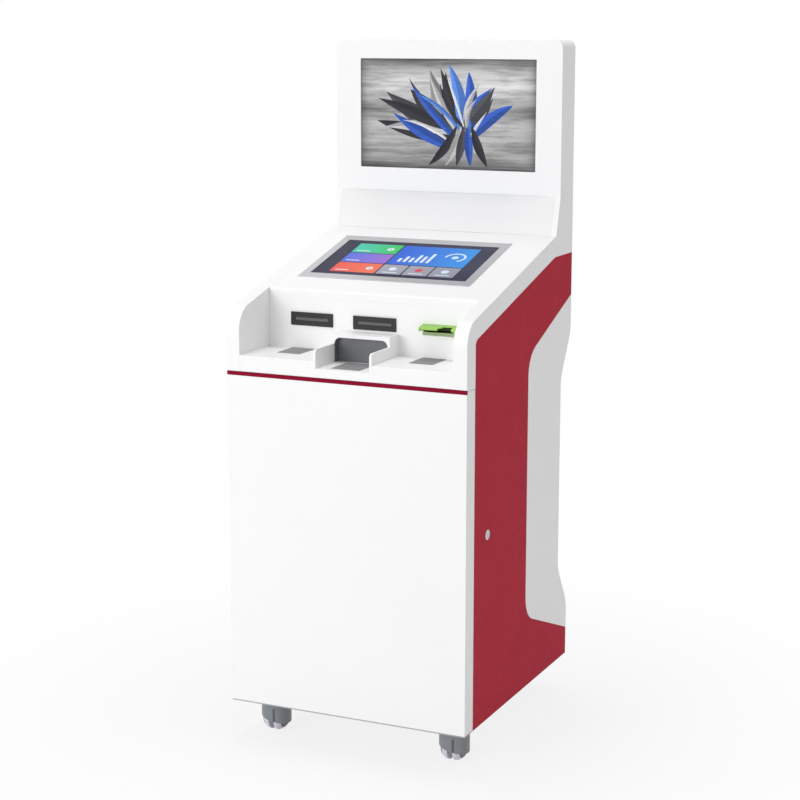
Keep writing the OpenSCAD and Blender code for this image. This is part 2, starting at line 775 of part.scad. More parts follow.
module scanner_hood() color(white) {
    difference() {
        xz(yc, ybay) translate([tx0, throat_z]) square([throat_w, hood_z - throat_z]);
        xz(yc - cut, ybay + cut) hood_mouth(cut);
    }
    for (x = [tx0, tx1 - cheek_t]) yz(x, x + cheek_t) polygon(rounded(
        [[yf, throat_z], [yf, cheek_z], [ybay, cheek_z], [ybay, throat_z]], [0, cheek_r, 0, 0]));
}
module scanner_window() color(dark) difference() {
    xz(yc, yc + window_in + window_t) hood_mouth();
    xz(yc - cut, yc + window_in) hood_mouth(cut, window_wall);
}
module scanner_engine() color(grey) box(throat_x - engine_w / 2, throat_x + engine_w / 2,
    yc + window_in + window_t, yc + window_in + window_t + engine_d, throat_z, throat_z + engine_h);

// shelf pads

module shelf_pads() color(grey) {
    for (x = [pad_left_x, pad_right_x])
        box(x - pad_w / 2, x + pad_w / 2, ybay - pad_d, ybay - pad_gap, shelf_z, shelf_z + pad_t);
    box(throat_x - pad_mid_w / 2, throat_x + pad_mid_w / 2, yf + pad_mid_y, yc - pad_gap,
        throat_z, throat_z + pad_t);
}

// equipment

module computer() color(grey) difference() {
    x = -pc_w - rack_gap / 2;
    y = rack_y - pc_d / 2;
    box(x, x + pc_w, y, y + pc_d, deck_z, deck_z + pc_h);
    for (i = [1:10]) box(x + i * vent_step, x + i * vent_step + vent_h, y - cut, y + vent_h,
        deck_z + pc_h / 4, deck_z + pc_h * 3 / 4);
}
module power_supply() color(steel) box(rack_gap / 2, rack_gap / 2 + psu_w,
    rack_y - psu_d / 2, rack_y + psu_d / 2, deck_z, deck_z + psu_h);

fan_y = yr - sheet_t;
fan_bore = fan_s / 2 - 4;
fan_hub = 20;

module fan_frame() color(dark) {
    difference() {
        box(fan_x - fan_s / 2, fan_x + fan_s / 2, fan_y - fan_d, fan_y, fan_z - fan_s / 2, fan_z + fan_s / 2);
        rod_y(fan_y - fan_d - cut, fan_y + cut, fan_x, fan_z, fan_bore);
    }
    for (a = [45:90:315]) translate([fan_x, 0, fan_z]) rotate([0, a, 0])
        box(fan_hub - 2, fan_bore + 1, fan_y - 4, fan_y, -3, 3);
    rod_y(fan_y - 4, fan_y, fan_x, fan_z, fan_hub);
    rod_y(fan_y - fan_d + 3, fan_y, fan_x, fan_z, 2);
}
module fan_rotor() color(dark) difference() {
    union() {
        rod_y(fan_y - fan_d + 3, fan_y - 5, fan_x, fan_z, fan_hub);
        for (a = [0:360 / 7:359]) translate([fan_x, fan_y - fan_d / 2 - 1, fan_z]) rotate([0, a, 0])
            translate([fan_hub - 2, 0, 0]) rotate([40, 0, 0]) box(0, fan_bore - fan_hub, -8, 8, -1, 1);
    }
    rod_y(fan_y - fan_d, fan_y, fan_x, fan_z, 2 + run_gap);
}

// power inlet

rocker_y = yb - 5;
inlet_body = 16;

module power_inlet() color(dark) {
    difference() {
        union() {
            box(inlet_x - inlet_hw, inlet_x + inlet_hw, yb - sheet_t, yb, inlet_low, inlet_high);
            box(inlet_x - inlet_body, inlet_x + inlet_body, yb - 28, yb - sheet_t,
                inlet_low + 4, inlet_high - 4);
        }
        box(inlet_x - 12.3, inlet_x + 12.3, yb - 17, yb + cut, inlet_z - 8.3, inlet_z + 8.3);
        box(inlet_x - rocker_w / 2 - 0.4, inlet_x + rocker_w / 2 + 0.4, yb - 18, yb + cut,
            rocker_z - 8, rocker_z + 8);
        rod_x(inlet_x - rocker_w / 2 - 2.5, inlet_x + rocker_w / 2 + 2.5, rocker_y, rocker_z, 1.2 + run_gap);
    }
    for (p = [[-7, -2], [0, 2], [7, -2]]) box(inlet_x + p[0] - 1, inlet_x + p[0] + 1, yb - 17, yb - 6,
        inlet_z + p[1] - 2, inlet_z + p[1] + 2);
}
module rocker() color(dark) {
    translate([0, rocker_y, rocker_z]) rotate([-rocker_a, 0, 0])
        yz(inlet_x - rocker_w / 2, inlet_x + rocker_w / 2)
            polygon([[-8, -3], [-8, 3], [-2, rocker_h / 2], [4, rocker_h / 2], [3, 0],
                [4, -rocker_h / 2], [-2, -rocker_h / 2]]);
    rod_x(inlet_x - rocker_w / 2 - 2, inlet_x + rocker_w / 2 + 2, rocker_y, rocker_z, 1.2);
}

// lock

cam_x = xin + 4;

module lock_barrel() color(steel) difference() {
    union() {
        rod_x(hw - inlay_t, hw, lock_y, lock_z, lock_r);
        rod_x(cam_x + cam_t + 1, hw, lock_y, lock_z, barrel_r);
        rod_x(xs - 4, xs, lock_y, lock_z, barrel_r + 4);
    }
    rod_x(cam_x, hw + cut, lock_y, lock_z, plug_r + run_gap);
}
module lock_cam() color(steel) difference() {
    union() {
        rod_x(cam_x, hw - 0.5, lock_y, lock_z, plug_r);
        rod_x(cam_x, cam_x + cam_t, lock_y, lock_z, cam_w / 2);
        box(cam_x, cam_x + cam_t, lock_y - cam_l, lock_y, lock_z - cam_w / 2, lock_z + cam_w / 2);
    }
    box(hw - 6, hw + cut, lock_y - 0.8, lock_y + 0.8, lock_z - 3.4, lock_z + 3.4);
}

// door

module door_shell() color(white) difference() {
    union() {
        box(-hw, hw, yf, yf + sheet_t, floor_z, trim_z);
        box(-hw, -hw + sheet_t, yf, yp - hinge_gap, floor_z, trim_z);
        box(-hw, -hw + sheet_t, yf + trim_t + 0.5, yp - hinge_gap, trim_z, seam_z - door_gap);
        box(hw - sheet_t, hw, yf, yp - door_gap, floor_z, trim_z);
        box(hw - sheet_t, hw, yf + trim_t + 0.5, yp - door_gap, trim_z, seam_z - door_gap);
        for (z = [floor_z, trim_z - sheet_t]) box(-hw, hw, yf, flange_y, z, z + sheet_t);
    }
    for (z = [floor_z, trim_z - sheet_t]) translate([hx, hy, z - cut])
        cylinder(r = pin_r + run_gap, h = sheet_t + 2 * cut);
    box(-hw - cut, -hw + sheet_t + 0.2, notch_y, yp, floor_z + sheet_t, floor_z + sheet_t + leaf_h + 6);
    box(-hw - cut, -hw + sheet_t + 0.2, notch_y, yp, trim_z - sheet_t - leaf_h - 6, trim_z - sheet_t);
    box(-hw - cut, -hw + sheet_t + 0.2, notch_y, yp, trim_z, seam_z);
}
module door_trim() color(red) box(-hw, hw, yf, yf + trim_t, trim_z, trim_z + trim_h);
module door_keeper() color(steel) {
    box(keeper_x - 12, keeper_x + cam_t + 8, yf + sheet_t, yf + 2 * sheet_t,
        keeper_z - 10, keeper_z + keeper_h + 10);
    box(keeper_x, keeper_x + cam_t, yf + sheet_t, lock_y + cam_w / 2 + 11, keeper_z, keeper_z + keeper_h);
    box(cam_x - 1, keeper_x + cam_t, lock_y + cam_w / 2 + 5, lock_y + cam_w / 2 + 11,
        keeper_z, keeper_z + keeper_h);
}

module hinge_bracket(z0, z1, eye0, leaf0, leaf1) {
    translate([hx, hy, eye0]) cylinder(r = eye_r, h = eye_t);
    box(hx - eye_r + 2.5, hx + leaf_w, hy, yp, eye0, eye0 + eye_t);
    box(hx - eye_r + 2.5, hx + leaf_w, yp - sheet_t, yp, leaf0, leaf1);
    translate([hx, hy, z0]) cylinder(r = pin_r, h = z1 - z0);
}
module hinge_brackets() color(steel) {
    low = floor_z + sheet_t + door_gap;
    high = trim_z - sheet_t - door_gap - eye_t;
    hinge_bracket(floor_z, low + eye_t, low, low, low + leaf_h);
    hinge_bracket(high, trim_z, high, high + eye_t - leaf_h, high + eye_t);
}

// casters

axle_z = wheel_r;
hood_ir = ball_r + hood_gap;
hood_or = hood_ir + hood_t;
king_x = hw - caster_in_x;
rear_x = hw - caster_rear_x;
king_y = yb - caster_in_y;
plate_z = tray_z - plate_t;
hood_top = plate_z - hood_drop;
rim_z = axle_z - rim_drop;
rim_low = rim_z - hood_or * tan(rim_tilt) - 1;
boss_r = king_r + 5;
boss_z = axle_z + ball_r + hood_gap;
web_t = wheel_gap - 3;
tread_a = acos(wheel_r / ball_r);
face_a = asin((wheel_gap / 2 + wheel_w) / ball_r);
side_n = ceil((face_a - tread_a) / bend_step);
// the wheel's rounded side from tread to face, as (radius, distance from the inner face)
wheel_side = [for (k = [0:side_n]) let (t = tread_a + (face_a - tread_a) * k / side_n)
    [ball_r * cos(t), ball_r * sin(t) - wheel_gap / 2]];

module caster_spots() for (p = [[-king_x, -king_y], [king_x, -king_y], [-rear_x, king_y], [rear_x, king_y]])
    translate([p[0], p[1], 0]) children();
module plate_spots() for (x = [-1, 1], y = [-1, 1])
    translate([x * (plate_w / 2 - 8), y * (plate_d / 2 - 8), 0]) children();

module caster_plates() color(steel) caster_spots() {
    difference() {
        translate([-plate_w / 2, -plate_d / 2, plate_z]) cube([plate_w, plate_d, plate_t]);
        plate_spots() translate([0, 0, plate_z - cut]) cylinder(r = bolt_r, h = plate_t + 2 * cut);
    }
    translate([0, 0, boss_z + 3]) cylinder(r = king_r, h = plate_z - boss_z - 3);
}
module caster_hood() color(grey) difference() {
    union() {
        translate([0, trail, 0]) difference() {
            rotate_extrude() polygon(rounded([[0, hood_top], [hood_or, hood_top], [hood_or, rim_low],
                [hood_ir, rim_low], [hood_ir, hood_top - hood_t], [0, hood_top - hood_t]],
                [0, hood_round, 0, 0, hood_round - hood_t, 0]));
            translate([0, 0, rim_z]) rotate([0, rim_tilt, 0])
                translate([-2 * hood_or, -2 * hood_or, -2 * hood_or])
                    cube([4 * hood_or, 4 * hood_or, 2 * hood_or]);
            rotate(groove_a) translate([-groove_w / 2, -hood_or - 1, 0])
                cube([groove_w, 1 + groove_d, hood_top - hood_round - groove_w]);
        }
        intersection() {
            translate([0, trail, rim_z])
                cylinder(r = hood_ir + hood_t / 2, h = hood_top - hood_round - rim_z);
            box(-web_t / 2, web_t / 2, trail - hood_or, trail + hood_or, rim_z, hood_top);
        }
        box(-web_t / 2, web_t / 2, trail - hood_ir + hood_round, trail + hood_ir - hood_round,
            hood_top - hood_round, hood_top - hood_t / 2);
        rod_x(-web_t / 2, web_t / 2, trail, axle_z, axle_r + 7);
        translate([0, 0, boss_z]) cylinder(r = boss_r, h = plate_z - door_gap - boss_z);
    }
    translate([0, 0, boss_z + 2]) cylinder(r = king_r + run_gap, h = plate_z);
    rod_x(-web_t, web_t, trail, axle_z, axle_r + run_gap);
}
module wheel() translate([wheel_gap / 2, 0, 0]) rotate([0, 90, 0]) rotate_extrude()
    polygon(concat([[0, 0], [wheel_r, 0]], wheel_side, [[0, wheel_w]]));
module caster_wheels() color([0.8, 0.78, 0.82]) translate([0, trail, axle_z]) {
    wheel();
    mirror([1, 0, 0]) wheel();
    rod_x(-wheel_gap / 2 - 1, wheel_gap / 2 + 1, 0, 0, axle_r);
}
module caster_hood_fl() translate([-king_x, -king_y, 0]) caster_hood();
module caster_hood_fr() translate([king_x, -king_y, 0]) caster_hood();
module caster_hood_rl() translate([-rear_x, king_y, 0]) caster_hood();
module caster_hood_rr() translate([rear_x, king_y, 0]) caster_hood();
module caster_wheels_fl() translate([-king_x, -king_y, 0]) caster_wheels();
module caster_wheels_fr() translate([king_x, -king_y, 0]) caster_wheels();
module caster_wheels_rl() translate([-rear_x, king_y, 0]) caster_wheels();
module caster_wheels_rr() translate([rear_x, king_y, 0]) caster_wheels();

// fasteners

module caster_bolts() color(steel) caster_spots() plate_spots() {
    translate([0, 0, plate_z - 4]) cylinder(r = bolt_r + 2, h = 4);
    translate([0, 0, plate_z - cut]) cylinder(r = bolt_r, h = plate_t + tray_t + 4 + cut);
    translate([0, 0, deck_z]) cylinder(r = bolt_r + 2, h = 4);
}
module cover_screws() color(steel) for (p = concat(rear_screws, back_screws)) {
    rod_y(p[1] - sheet_t, p[1], p[0], p[2], screw_r);
    rod_y(p[1] - 12, p[1] - sheet_t, p[0], p[2], screw_r / 2);
}

base_tray();
side_panel_left();
side_panel_right();
side_inlay_left();
side_inlay_right();
rear_cover();
rear_upper_cover();
console_shelf();
bay_back();
console_top();
bay_liner_left();
bay_liner_right();
riser();
head_shell();
head_back();
upper_glass();
upper_display();
touch_frame();
touch_glass();
touch_module();
slot_bezel_left();
slot_bezel_right();
slot_flap_left();
slot_flap_right();
printer_left();
printer_right();
paper_roll_left();
paper_roll_right();
card_bezel();
card_reader();
scanner_hood();
scanner_window();
scanner_engine();
shelf_pads();
computer();
power_supply();
fan_frame();
fan_rotor();
power_inlet();
rocker();
lock_barrel();
lock_cam();
door_shell();
door_trim();
door_keeper();
hinge_brackets();
caster_plates();
caster_hood_fl();
caster_hood_fr();
caster_hood_rl();
caster_hood_rr();
caster_wheels_fl();
caster_wheels_fr();
caster_wheels_rl();
caster_wheels_rr();
caster_bolts();
cover_screws();
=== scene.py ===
"""Self-service kiosk: materials, fine detail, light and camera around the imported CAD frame.

Lengths are in millimetres where nothing else is said. Pieces are scaled to metres when their mesh is made.
"""
import json
import math
import random

import bpy
from mathutils import Matrix, Vector


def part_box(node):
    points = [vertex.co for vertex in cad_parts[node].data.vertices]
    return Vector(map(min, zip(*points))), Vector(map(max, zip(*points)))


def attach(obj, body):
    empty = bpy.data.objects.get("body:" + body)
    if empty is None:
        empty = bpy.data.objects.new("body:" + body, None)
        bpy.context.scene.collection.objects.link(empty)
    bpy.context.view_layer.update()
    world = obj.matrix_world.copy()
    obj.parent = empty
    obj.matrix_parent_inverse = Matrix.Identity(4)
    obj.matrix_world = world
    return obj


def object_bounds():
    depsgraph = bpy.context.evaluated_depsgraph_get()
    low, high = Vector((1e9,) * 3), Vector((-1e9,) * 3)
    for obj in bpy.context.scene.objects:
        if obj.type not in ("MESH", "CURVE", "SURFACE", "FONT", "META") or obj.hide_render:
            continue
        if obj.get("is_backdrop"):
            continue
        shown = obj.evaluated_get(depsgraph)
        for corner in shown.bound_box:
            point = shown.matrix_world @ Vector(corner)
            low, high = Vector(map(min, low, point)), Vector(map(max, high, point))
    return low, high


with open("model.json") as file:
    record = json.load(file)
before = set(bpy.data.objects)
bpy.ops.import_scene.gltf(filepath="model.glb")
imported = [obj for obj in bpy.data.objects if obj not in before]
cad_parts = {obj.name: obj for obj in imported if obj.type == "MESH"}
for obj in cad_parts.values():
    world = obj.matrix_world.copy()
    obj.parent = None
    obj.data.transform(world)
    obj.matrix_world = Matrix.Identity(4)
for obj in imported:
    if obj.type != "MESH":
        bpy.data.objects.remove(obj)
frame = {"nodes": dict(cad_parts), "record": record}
cad_low, cad_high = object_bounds()
nodes = frame["nodes"]
scene = bpy.context.scene
MM = 0.001


def box_mm(node):
    """A CAD node's lowest and highest corner."""
    return [Vector(corner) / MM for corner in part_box(node)]


def middle(node):
    """The middle of a CAD node's box."""
    low, high = box_mm(node)
    return (low + high) / 2


# Materials

MIX_A, MIX_B, MIX_OUT = 6, 7, 2  # colour sockets of a Mix node
DARK_GLASS = (0.01, 0.01, 0.012, 1)
PURE_WHITE = (1, 1, 1, 1)


class Nodes:
    """A node tree whose nodes are added together with their inputs."""

    def __init__(self, tree):
        self.tree = tree

    def add(self, kind, inputs=None, **props):
        node = self.tree.nodes.new(kind)
        for key, value in props.items():
            setattr(node, key, value)
        for key, value in (inputs or {}).items():
            self.put(node.inputs[key], value)
        return node

    def put(self, socket, value):
        """Links an output to a socket, or sets the socket's own value."""
        if isinstance(value, bpy.types.NodeSocket):
            self.tree.links.new(value, socket)
        else:
            socket.default_value = value

    def sums(self, operation, *values):
        """The result of a Math node."""
        return self.add("ShaderNodeMath", dict(enumerate(values)), operation=operation).outputs[0]

    def place(self):
        """A point in the object's own coordinates, in metres."""
        return self.add("ShaderNodeTexCoord").outputs["Object"]

    def span(self, value, low, high, start=0.3, stop=0.7, kind="LINEAR"):
        """Maps a value between start and stop to one between low and high."""
        inputs = {"Value": value, "From Min": start, "From Max": stop, "To Min": low, "To Max": high}
        return self.add("ShaderNodeMapRange", inputs, interpolation_type=kind).outputs["Result"]

    def background_rays(self):
        """1 on the rays that show the plain background: camera, glossy and transmission rays."""
        path = self.add("ShaderNodeLightPath").outputs
        seen = self.sums("MAXIMUM", path["Is Camera Ray"], path["Is Glossy Ray"])
        return self.sums("MAXIMUM", seen, path["Is Transmission Ray"])

    def show(self, output, factor, a, b):
        """Mixes two shaders and sends them to a new output node."""
        mixed = self.add("ShaderNodeMixShader", {0: factor, 1: a, 2: b}).outputs[0]
        self.add(output, {"Surface": mixed})


class Shade(Nodes):
    """A Principled material."""

    def __init__(self, name):
        self.mat = bpy.data.materials.new(name)
        self.mat.use_nodes = True
        super().__init__(self.mat.node_tree)
        self.bsdf = self.tree.nodes["Principled BSDF"]

    def set(self, **inputs):
        """Sets inputs of the Principled shader, with _ for each space in their names."""
        for key, value in inputs.items():
            self.put(self.bsdf.inputs[key.replace("_", " ")], value)

    def coords(self, scale=(1, 1, 1)):
        return self.add("ShaderNodeMapping", {"Vector": self.place(), "Scale": scale}).outputs["Vector"]

    def axes(self):
        """Outputs X, Y and Z of a point in the object's own coordinates, in metres."""
        return self.add("ShaderNodeSeparateXYZ", {"Vector": self.place()}).outputs

    def noise(self, vector, scale, detail, rough=0.5):
        inputs = {"Vector": vector, "Scale": scale, "Detail": detail, "Roughness": rough}
        return self.add("ShaderNodeTexNoise", inputs).outputs["Fac"]

    def mix(self, factor, a, b):
        inputs = {"Factor": factor, MIX_A: a, MIX_B: b}
        return self.add("ShaderNodeMix", inputs, data_type="RGBA").outputs[MIX_OUT]

    def bump(self, height, strength, distance):
        inputs = {"Height": height, "Strength": strength, "Distance": distance}
        return self.add("ShaderNodeBump", inputs).outputs["Normal"]

    def shine(self, colour, gloss):
        """Gives off a colour from behind dark glass of uneven gloss."""
        self.set(Base_Color=DARK_GLASS, Emission_Color=colour, Emission_Strength=1.0,
                 Roughness=self.span(gloss, 0.1, 0.2), Specular_IOR_Level=0.03)


def rgb(r, g, b):
    """A linear colour from sRGB values of 0 to 255."""
    def linear(value):
        share = value / 255
        return share / 12.92 if value <= 10 else ((share + 0.055) / 1.055) ** 2.4

    return (linear(r), linear(g), linear(b), 1.0)


def grey(level):
    """A linear neutral colour from one sRGB value."""
    return rgb(level, level, level)


def scaled(colour, factor):
    """A colour made lighter or darker."""
    return tuple(min(1.0, c * factor) for c in colour[:3]) + (1.0,)


# Painted shade: below the height foot, surface paints a darker colour that stands in for a shadow line
PAINTED_SHADE_BLUR = 0.0002  # half height, in metres, over which the colour changes at foot
GLOSS_FINER = 9  # the gloss varies this much finer than the colour


def surface(name, colour, rough, vary=0.05, rough_vary=0.05, grain=900, bump=0.15, depth=0.0002, patch=25,
            stretch=(1, 1, 1), foot=None, under=None, **sockets):
    """Painted, moulded or drawn surface: slow colour drift, uneven gloss and a fine grain.

    With foot, a height in metres, the colour below it is the darker one given with it: painted shade.
    """
    s = Shade(name)
    slow = s.noise(s.coords(), patch, detail=3.0)
    fine = s.noise(s.coords(stretch), grain, detail=3.0, rough=0.6)
    uneven = s.noise(s.coords(stretch), patch * GLOSS_FINER, detail=4.0)
    base = s.mix(s.span(slow, 0, 1), scaled(colour, 1 - vary), scaled(colour, 1 + vary))
    # Painted shade: below foot the colour turns to the darker one given with it
    if foot:
        below = s.span(s.axes()["Z"], 1, 0, foot - PAINTED_SHADE_BLUR, foot + PAINTED_SHADE_BLUR)
        base = s.mix(below, base, under)
    s.set(Base_Color=base, Roughness=s.span(uneven, rough - rough_vary, rough + rough_vary),
          Normal=s.bump(fine, bump, depth), **sockets)
    return s.mat


WHITE = (0.90, 0.90, 0.905, 1)
PAINT = dict(vary=0.006, rough_vary=0.04, grain=420, bump=0.10, depth=0.00015, patch=5,
             Specular_IOR_Level=0.3)
GREEN = dict(colour=rgb(146, 196, 78), rough=0.38, bump=0.12, patch=18)
FINISHES = {
    "white_paint": dict(PAINT, colour=WHITE, rough=0.42),
    # The door's lowest millimetre is painted grey: a painted shadow line along its lower edge
    "door_white_painted_shade": dict(PAINT, colour=WHITE, rough=0.42, foot=0.0990, under=rgb(170, 171, 173)),
    # The riser's white is painted greyer than the rest: painted shade for the head's shadow over it
    "riser_white_painted_shade": dict(PAINT, colour=(0.84, 0.84, 0.845, 1), rough=0.4),
    "red_inlay": dict(colour=rgb(182, 46, 64), rough=0.55, vary=0.035, grain=700, bump=0.12, patch=7,
                      Specular_IOR_Level=0.03),
    # The trim's red is deeper than the inlays': partly its own colour, partly painted shade of a groove the
    # flush trim lacks
    "trim_red": dict(colour=rgb(136, 12, 46), rough=0.5, grain=700, bump=0.12, patch=9,
                     Specular_IOR_Level=0.05),
    "inner_steel": dict(colour=(0.55, 0.56, 0.58, 1), rough=0.38, vary=0.08, rough_vary=0.08, grain=260,
                        bump=0.1, patch=20, stretch=(1, 1, 0.08), Metallic=0.9),
    "screen_glass": dict(colour=rgb(46, 46, 68), rough=0.12, vary=0.1, rough_vary=0.03, grain=90, bump=0.01,
                         depth=0.0001, patch=12, Specular_IOR_Level=0.03),
    "housing_grey": dict(colour=(0.20, 0.205, 0.215, 1), rough=0.55, rough_vary=0.06, bump=0.2, patch=10),
    "silver_frame": dict(colour=(0.52, 0.52, 0.535, 1), rough=0.36, vary=0.03, grain=500, bump=0.12,
                         depth=0.00015, patch=15, stretch=(0.05, 1, 1), Metallic=0.55),
    "black_plastic": dict(colour=(0.022, 0.022, 0.024, 1), rough=0.45, vary=0.12, rough_vary=0.06,
                          grain=1100, bump=0.2, patch=15, Specular_IOR_Level=0.25),
    "flap_grey": dict(colour=(0.075, 0.075, 0.078, 1), rough=0.35, vary=0.08, grain=1100, patch=15),
    "green_plastic": GREEN,
    # The card mouth's lower jaw is painted a duller, darker green: painted shade beneath the upper jaw
    "card_green_painted_shade": dict(GREEN, foot=1.0118, under=rgb(134, 158, 104)),
    # Near-black green of the card slot's strips: painted shade inside the slot and its notch
    "slot_painted_shade": dict(colour=rgb(36, 54, 22), rough=0.6, vary=0.06, Specular_IOR_Level=0.1),
    "dark_window": dict(colour=(0.125, 0.13, 0.14, 1), rough=0.4, vary=0.06, bump=0.1, patch=12),
    "pad_grey": dict(colour=rgb(136, 136, 137), rough=0.7, grain=1500, bump=0.35, depth=0.0003, patch=20),
    "white_plastic": dict(colour=WHITE, rough=0.4, vary=0.008, bump=0.12, depth=0.00015, patch=8),
    "roll_paper": dict(colour=(0.86, 0.86, 0.84, 1), rough=0.85, vary=0.02, rough_vary=0.04, grain=1400,
                       bump=0.3, patch=10, stretch=(1, 0.1, 0.1)),
    "caster_grey": dict(colour=rgb(130, 134, 138), rough=0.45, vary=0.06, rough_vary=0.06),
    "wheel_plastic": dict(colour=rgb(222, 218, 230), rough=0.5, vary=0.03, rough_vary=0.06),
    # Dark grey of the strips in the casters' hood grooves: painted shade of the grooves
    "groove_painted_shade": dict(colour=rgb(92, 94, 100), rough=0.55, rough_vary=0.06),
    "hub_grey": dict(colour=rgb(104, 106, 112), rough=0.42, rough_vary=0.06),
}
mats = {name: surface(name, **settings) for name, settings in FINISHES.items()}


GLOW_STRETCH, STREAK_DARK = (4, 30, 30), 0.35  # the streaks' stretch, and how dark their colour is


def glow(name, colour, other, axis, low, high, streak=0.06):
    """A lit patch of a screen with faint streaks, from one colour to another along an axis in metres."""
    s = Shade(name)
    faint = s.noise(s.coords(GLOW_STRETCH), 6.0, detail=4.0, rough=0.6)
    blended = s.mix(s.span(s.axes()[axis], 0.0, 1.0, low, high), colour, other)
    s.shine(s.mix(s.span(faint, 0.0, streak), blended, scaled(colour, STREAK_DARK)), faint)
    return s.mat


# CAD nodes: finish and broken edges

USUAL_EDGE = 0.5
EDGES = {
    "door_shell": 0.8, "side_panel_left": 0.8, "side_panel_right": 0.8, "head_shell": 1.0,
    "console_shelf": 0.8, "console_top": 0.6, "riser": 0.6, "scanner_hood": 1.2, "card_bezel": 1.0,
    "touch_frame": 0.4, "shelf_pads": 0.25, "side_inlay_left": 0.4, "side_inlay_right": 0.4,
    "slot_flap_left": 0.2, "slot_flap_right": 0.2, "scanner_window": 0.4, "upper_glass": 0.3,
    "touch_glass": 0.3, "fan_rotor": 0.3, "lock_cam": 0.25,
}
# Plates with many slits or openings, whose edges stay sharp
LOUVRED = ("head_back", "rear_upper_cover", "rear_cover", "computer", "bay_back")
WELD_GAP = 2e-5  # in metres
SHARP = math.radians(32)  # an edge bent further than this counts as sharp
FLAT = math.radians(0.6)  # triangles bent less than this are joined


def weld_smooth(obj):
    """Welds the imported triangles, for smooth shading."""
    weld = obj.modifiers.new("weld", "WELD")
    weld.merge_threshold = WELD_GAP
    for poly in obj.data.polygons:
        poly.use_smooth = True


def keep_edges(obj):
    """Shades the bends smoothly and the sharp edges sharp."""
    weld_smooth(obj)
    split = obj.modifiers.new("split", "EDGE_SPLIT")
    split.split_angle = SHARP


def break_edges(obj, width):
    """Joins the flat triangles and rounds the sharp edges by width."""
    weld_smooth(obj)
    flat = obj.modifiers.new("flat", "DECIMATE")
    flat.decimate_type = "DISSOLVE"
    flat.angle_limit = FLAT
    bevel = obj.modifiers.new("edges", "BEVEL")
    bevel.width = width * MM
    bevel.segments = 3
    bevel.limit_method = "ANGLE"
    bevel.angle_limit = SHARP
    bevel.miter_outer = "MITER_ARC"
    smooth = obj.modifiers.new("normals", "WEIGHTED_NORMAL")
    smooth.keep_sharp = True
    smooth.weight = 60


# Own looks of some nodes; the door's, the riser's and the card mouth's carry painted shade
OWN_LOOK = {"door_trim": "trim_red", "door_shell": "door_white_painted_shade", "riser": "riser_white_painted_shade",
            "card_bezel": "card_green_painted_shade"}
slot_of = {entry["node"]: entry["material_slot"] for entry in frame["record"]["subparts"]}
for name, obj in nodes.items():
    obj.data.materials.clear()
    obj.data.materials.append(mats[OWN_LOOK.get(name, slot_of[name])])
    if name in LOUVRED:
        keep_edges(obj)
    else:
        break_edges(obj, EDGES.get(name, USUAL_EDGE))

# Helpers for added pieces

SLOPE_Z, SLOPE_ANGLE = 1047.3, 14.85  # the console's slope, carried on to the front of the kiosk
ON_SLOPE = (Matrix.Translation((0, cad_low[1], SLOPE_Z * MM))
            @ Matrix.Rotation(math.radians(SLOPE_ANGLE), 4, "X"))
ON_FRONT = Matrix.Rotation(math.radians(90), 4, "X")
TO_RIGHT = Matrix.Rotation(math.radians(90), 3, "Y")
TO_LEFT = Matrix.Rotation(math.radians(-90), 3, "Y")
TO_BACK = Matrix.Rotation(math.radians(-90), 3, "X")
CORNER_STEPS = 5
EDGE_IN, EDGE_DOWN = 0.4, 0.3  # middle of a plate's rounded edge, as shares of the rounding
SMOOTH_ANGLE = math.radians(35)


def front_at(y):
    """The plane at y that faces the front, for outlines in x and z."""
    return Matrix.Translation((0, y * MM, 0)) @ ON_FRONT


def piece(name, verts, faces, body, mat, place):
    """A mesh piece, put in place and given a body, a material and a slot."""
    mesh = bpy.data.meshes.new(name)
    mesh.from_pydata([Vector(v) * MM for v in verts], [], faces)
    mesh.update()
    obj = bpy.data.objects.new(name, mesh)
    scene.collection.objects.link(obj)
    obj.matrix_world = place
    mesh.materials.append(mat)
    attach(obj, body)
    return obj


def solid(name, parts, body, mat, place=Matrix.Identity(4), smooth=False):
    """One piece from several closed meshes, each (vertices, faces) or (vertices, faces, material)."""
    verts, faces, looks = [], [], []
    shades = [mat]
    for part in parts:
        shade = part[2] if len(part) > 2 else mat
        if shade not in shades:
            shades.append(shade)
        faces += [tuple(i + len(verts) for i in face) for face in part[1]]
        looks += [shades.index(shade)] * len(part[1])
        verts += part[0]
    obj = piece(name, verts, faces, body, mat, place)
    for shade in shades[1:]:
        obj.data.materials.append(shade)
    for poly, look in zip(obj.data.polygons, looks):
        poly.material_index = look
        poly.use_smooth = smooth
    if smooth:
        obj.data.set_sharp_from_angle(angle=SMOOTH_ANGLE)


def arc(x, y, r, degrees):
    """Points on a circle at the angles given."""
    return [(x + r * math.cos(math.radians(a)), y + r * math.sin(math.radians(a))) for a in degrees]


def rectangle(xs, ys):
    """Corners of a rectangle between two x and two y values, anticlockwise."""
    return [(xs[0], ys[0]), (xs[1], ys[0]), (xs[1], ys[1]), (xs[0], ys[1])]


def rounded(x0, x1, y0, y1, r):
    """Points of a rectangle with round corners, anticlockwise."""
    out = []
    corners = ((x1 - r, y1 - r), (x0 + r, y1 - r), (x0 + r, y0 + r), (x1 - r, y0 + r))
    for k, (x, y) in enumerate(corners):
        out += arc(x, y, r, [90 * (k + i / CORNER_STEPS) for i in range(CORNER_STEPS + 1)])
    return out


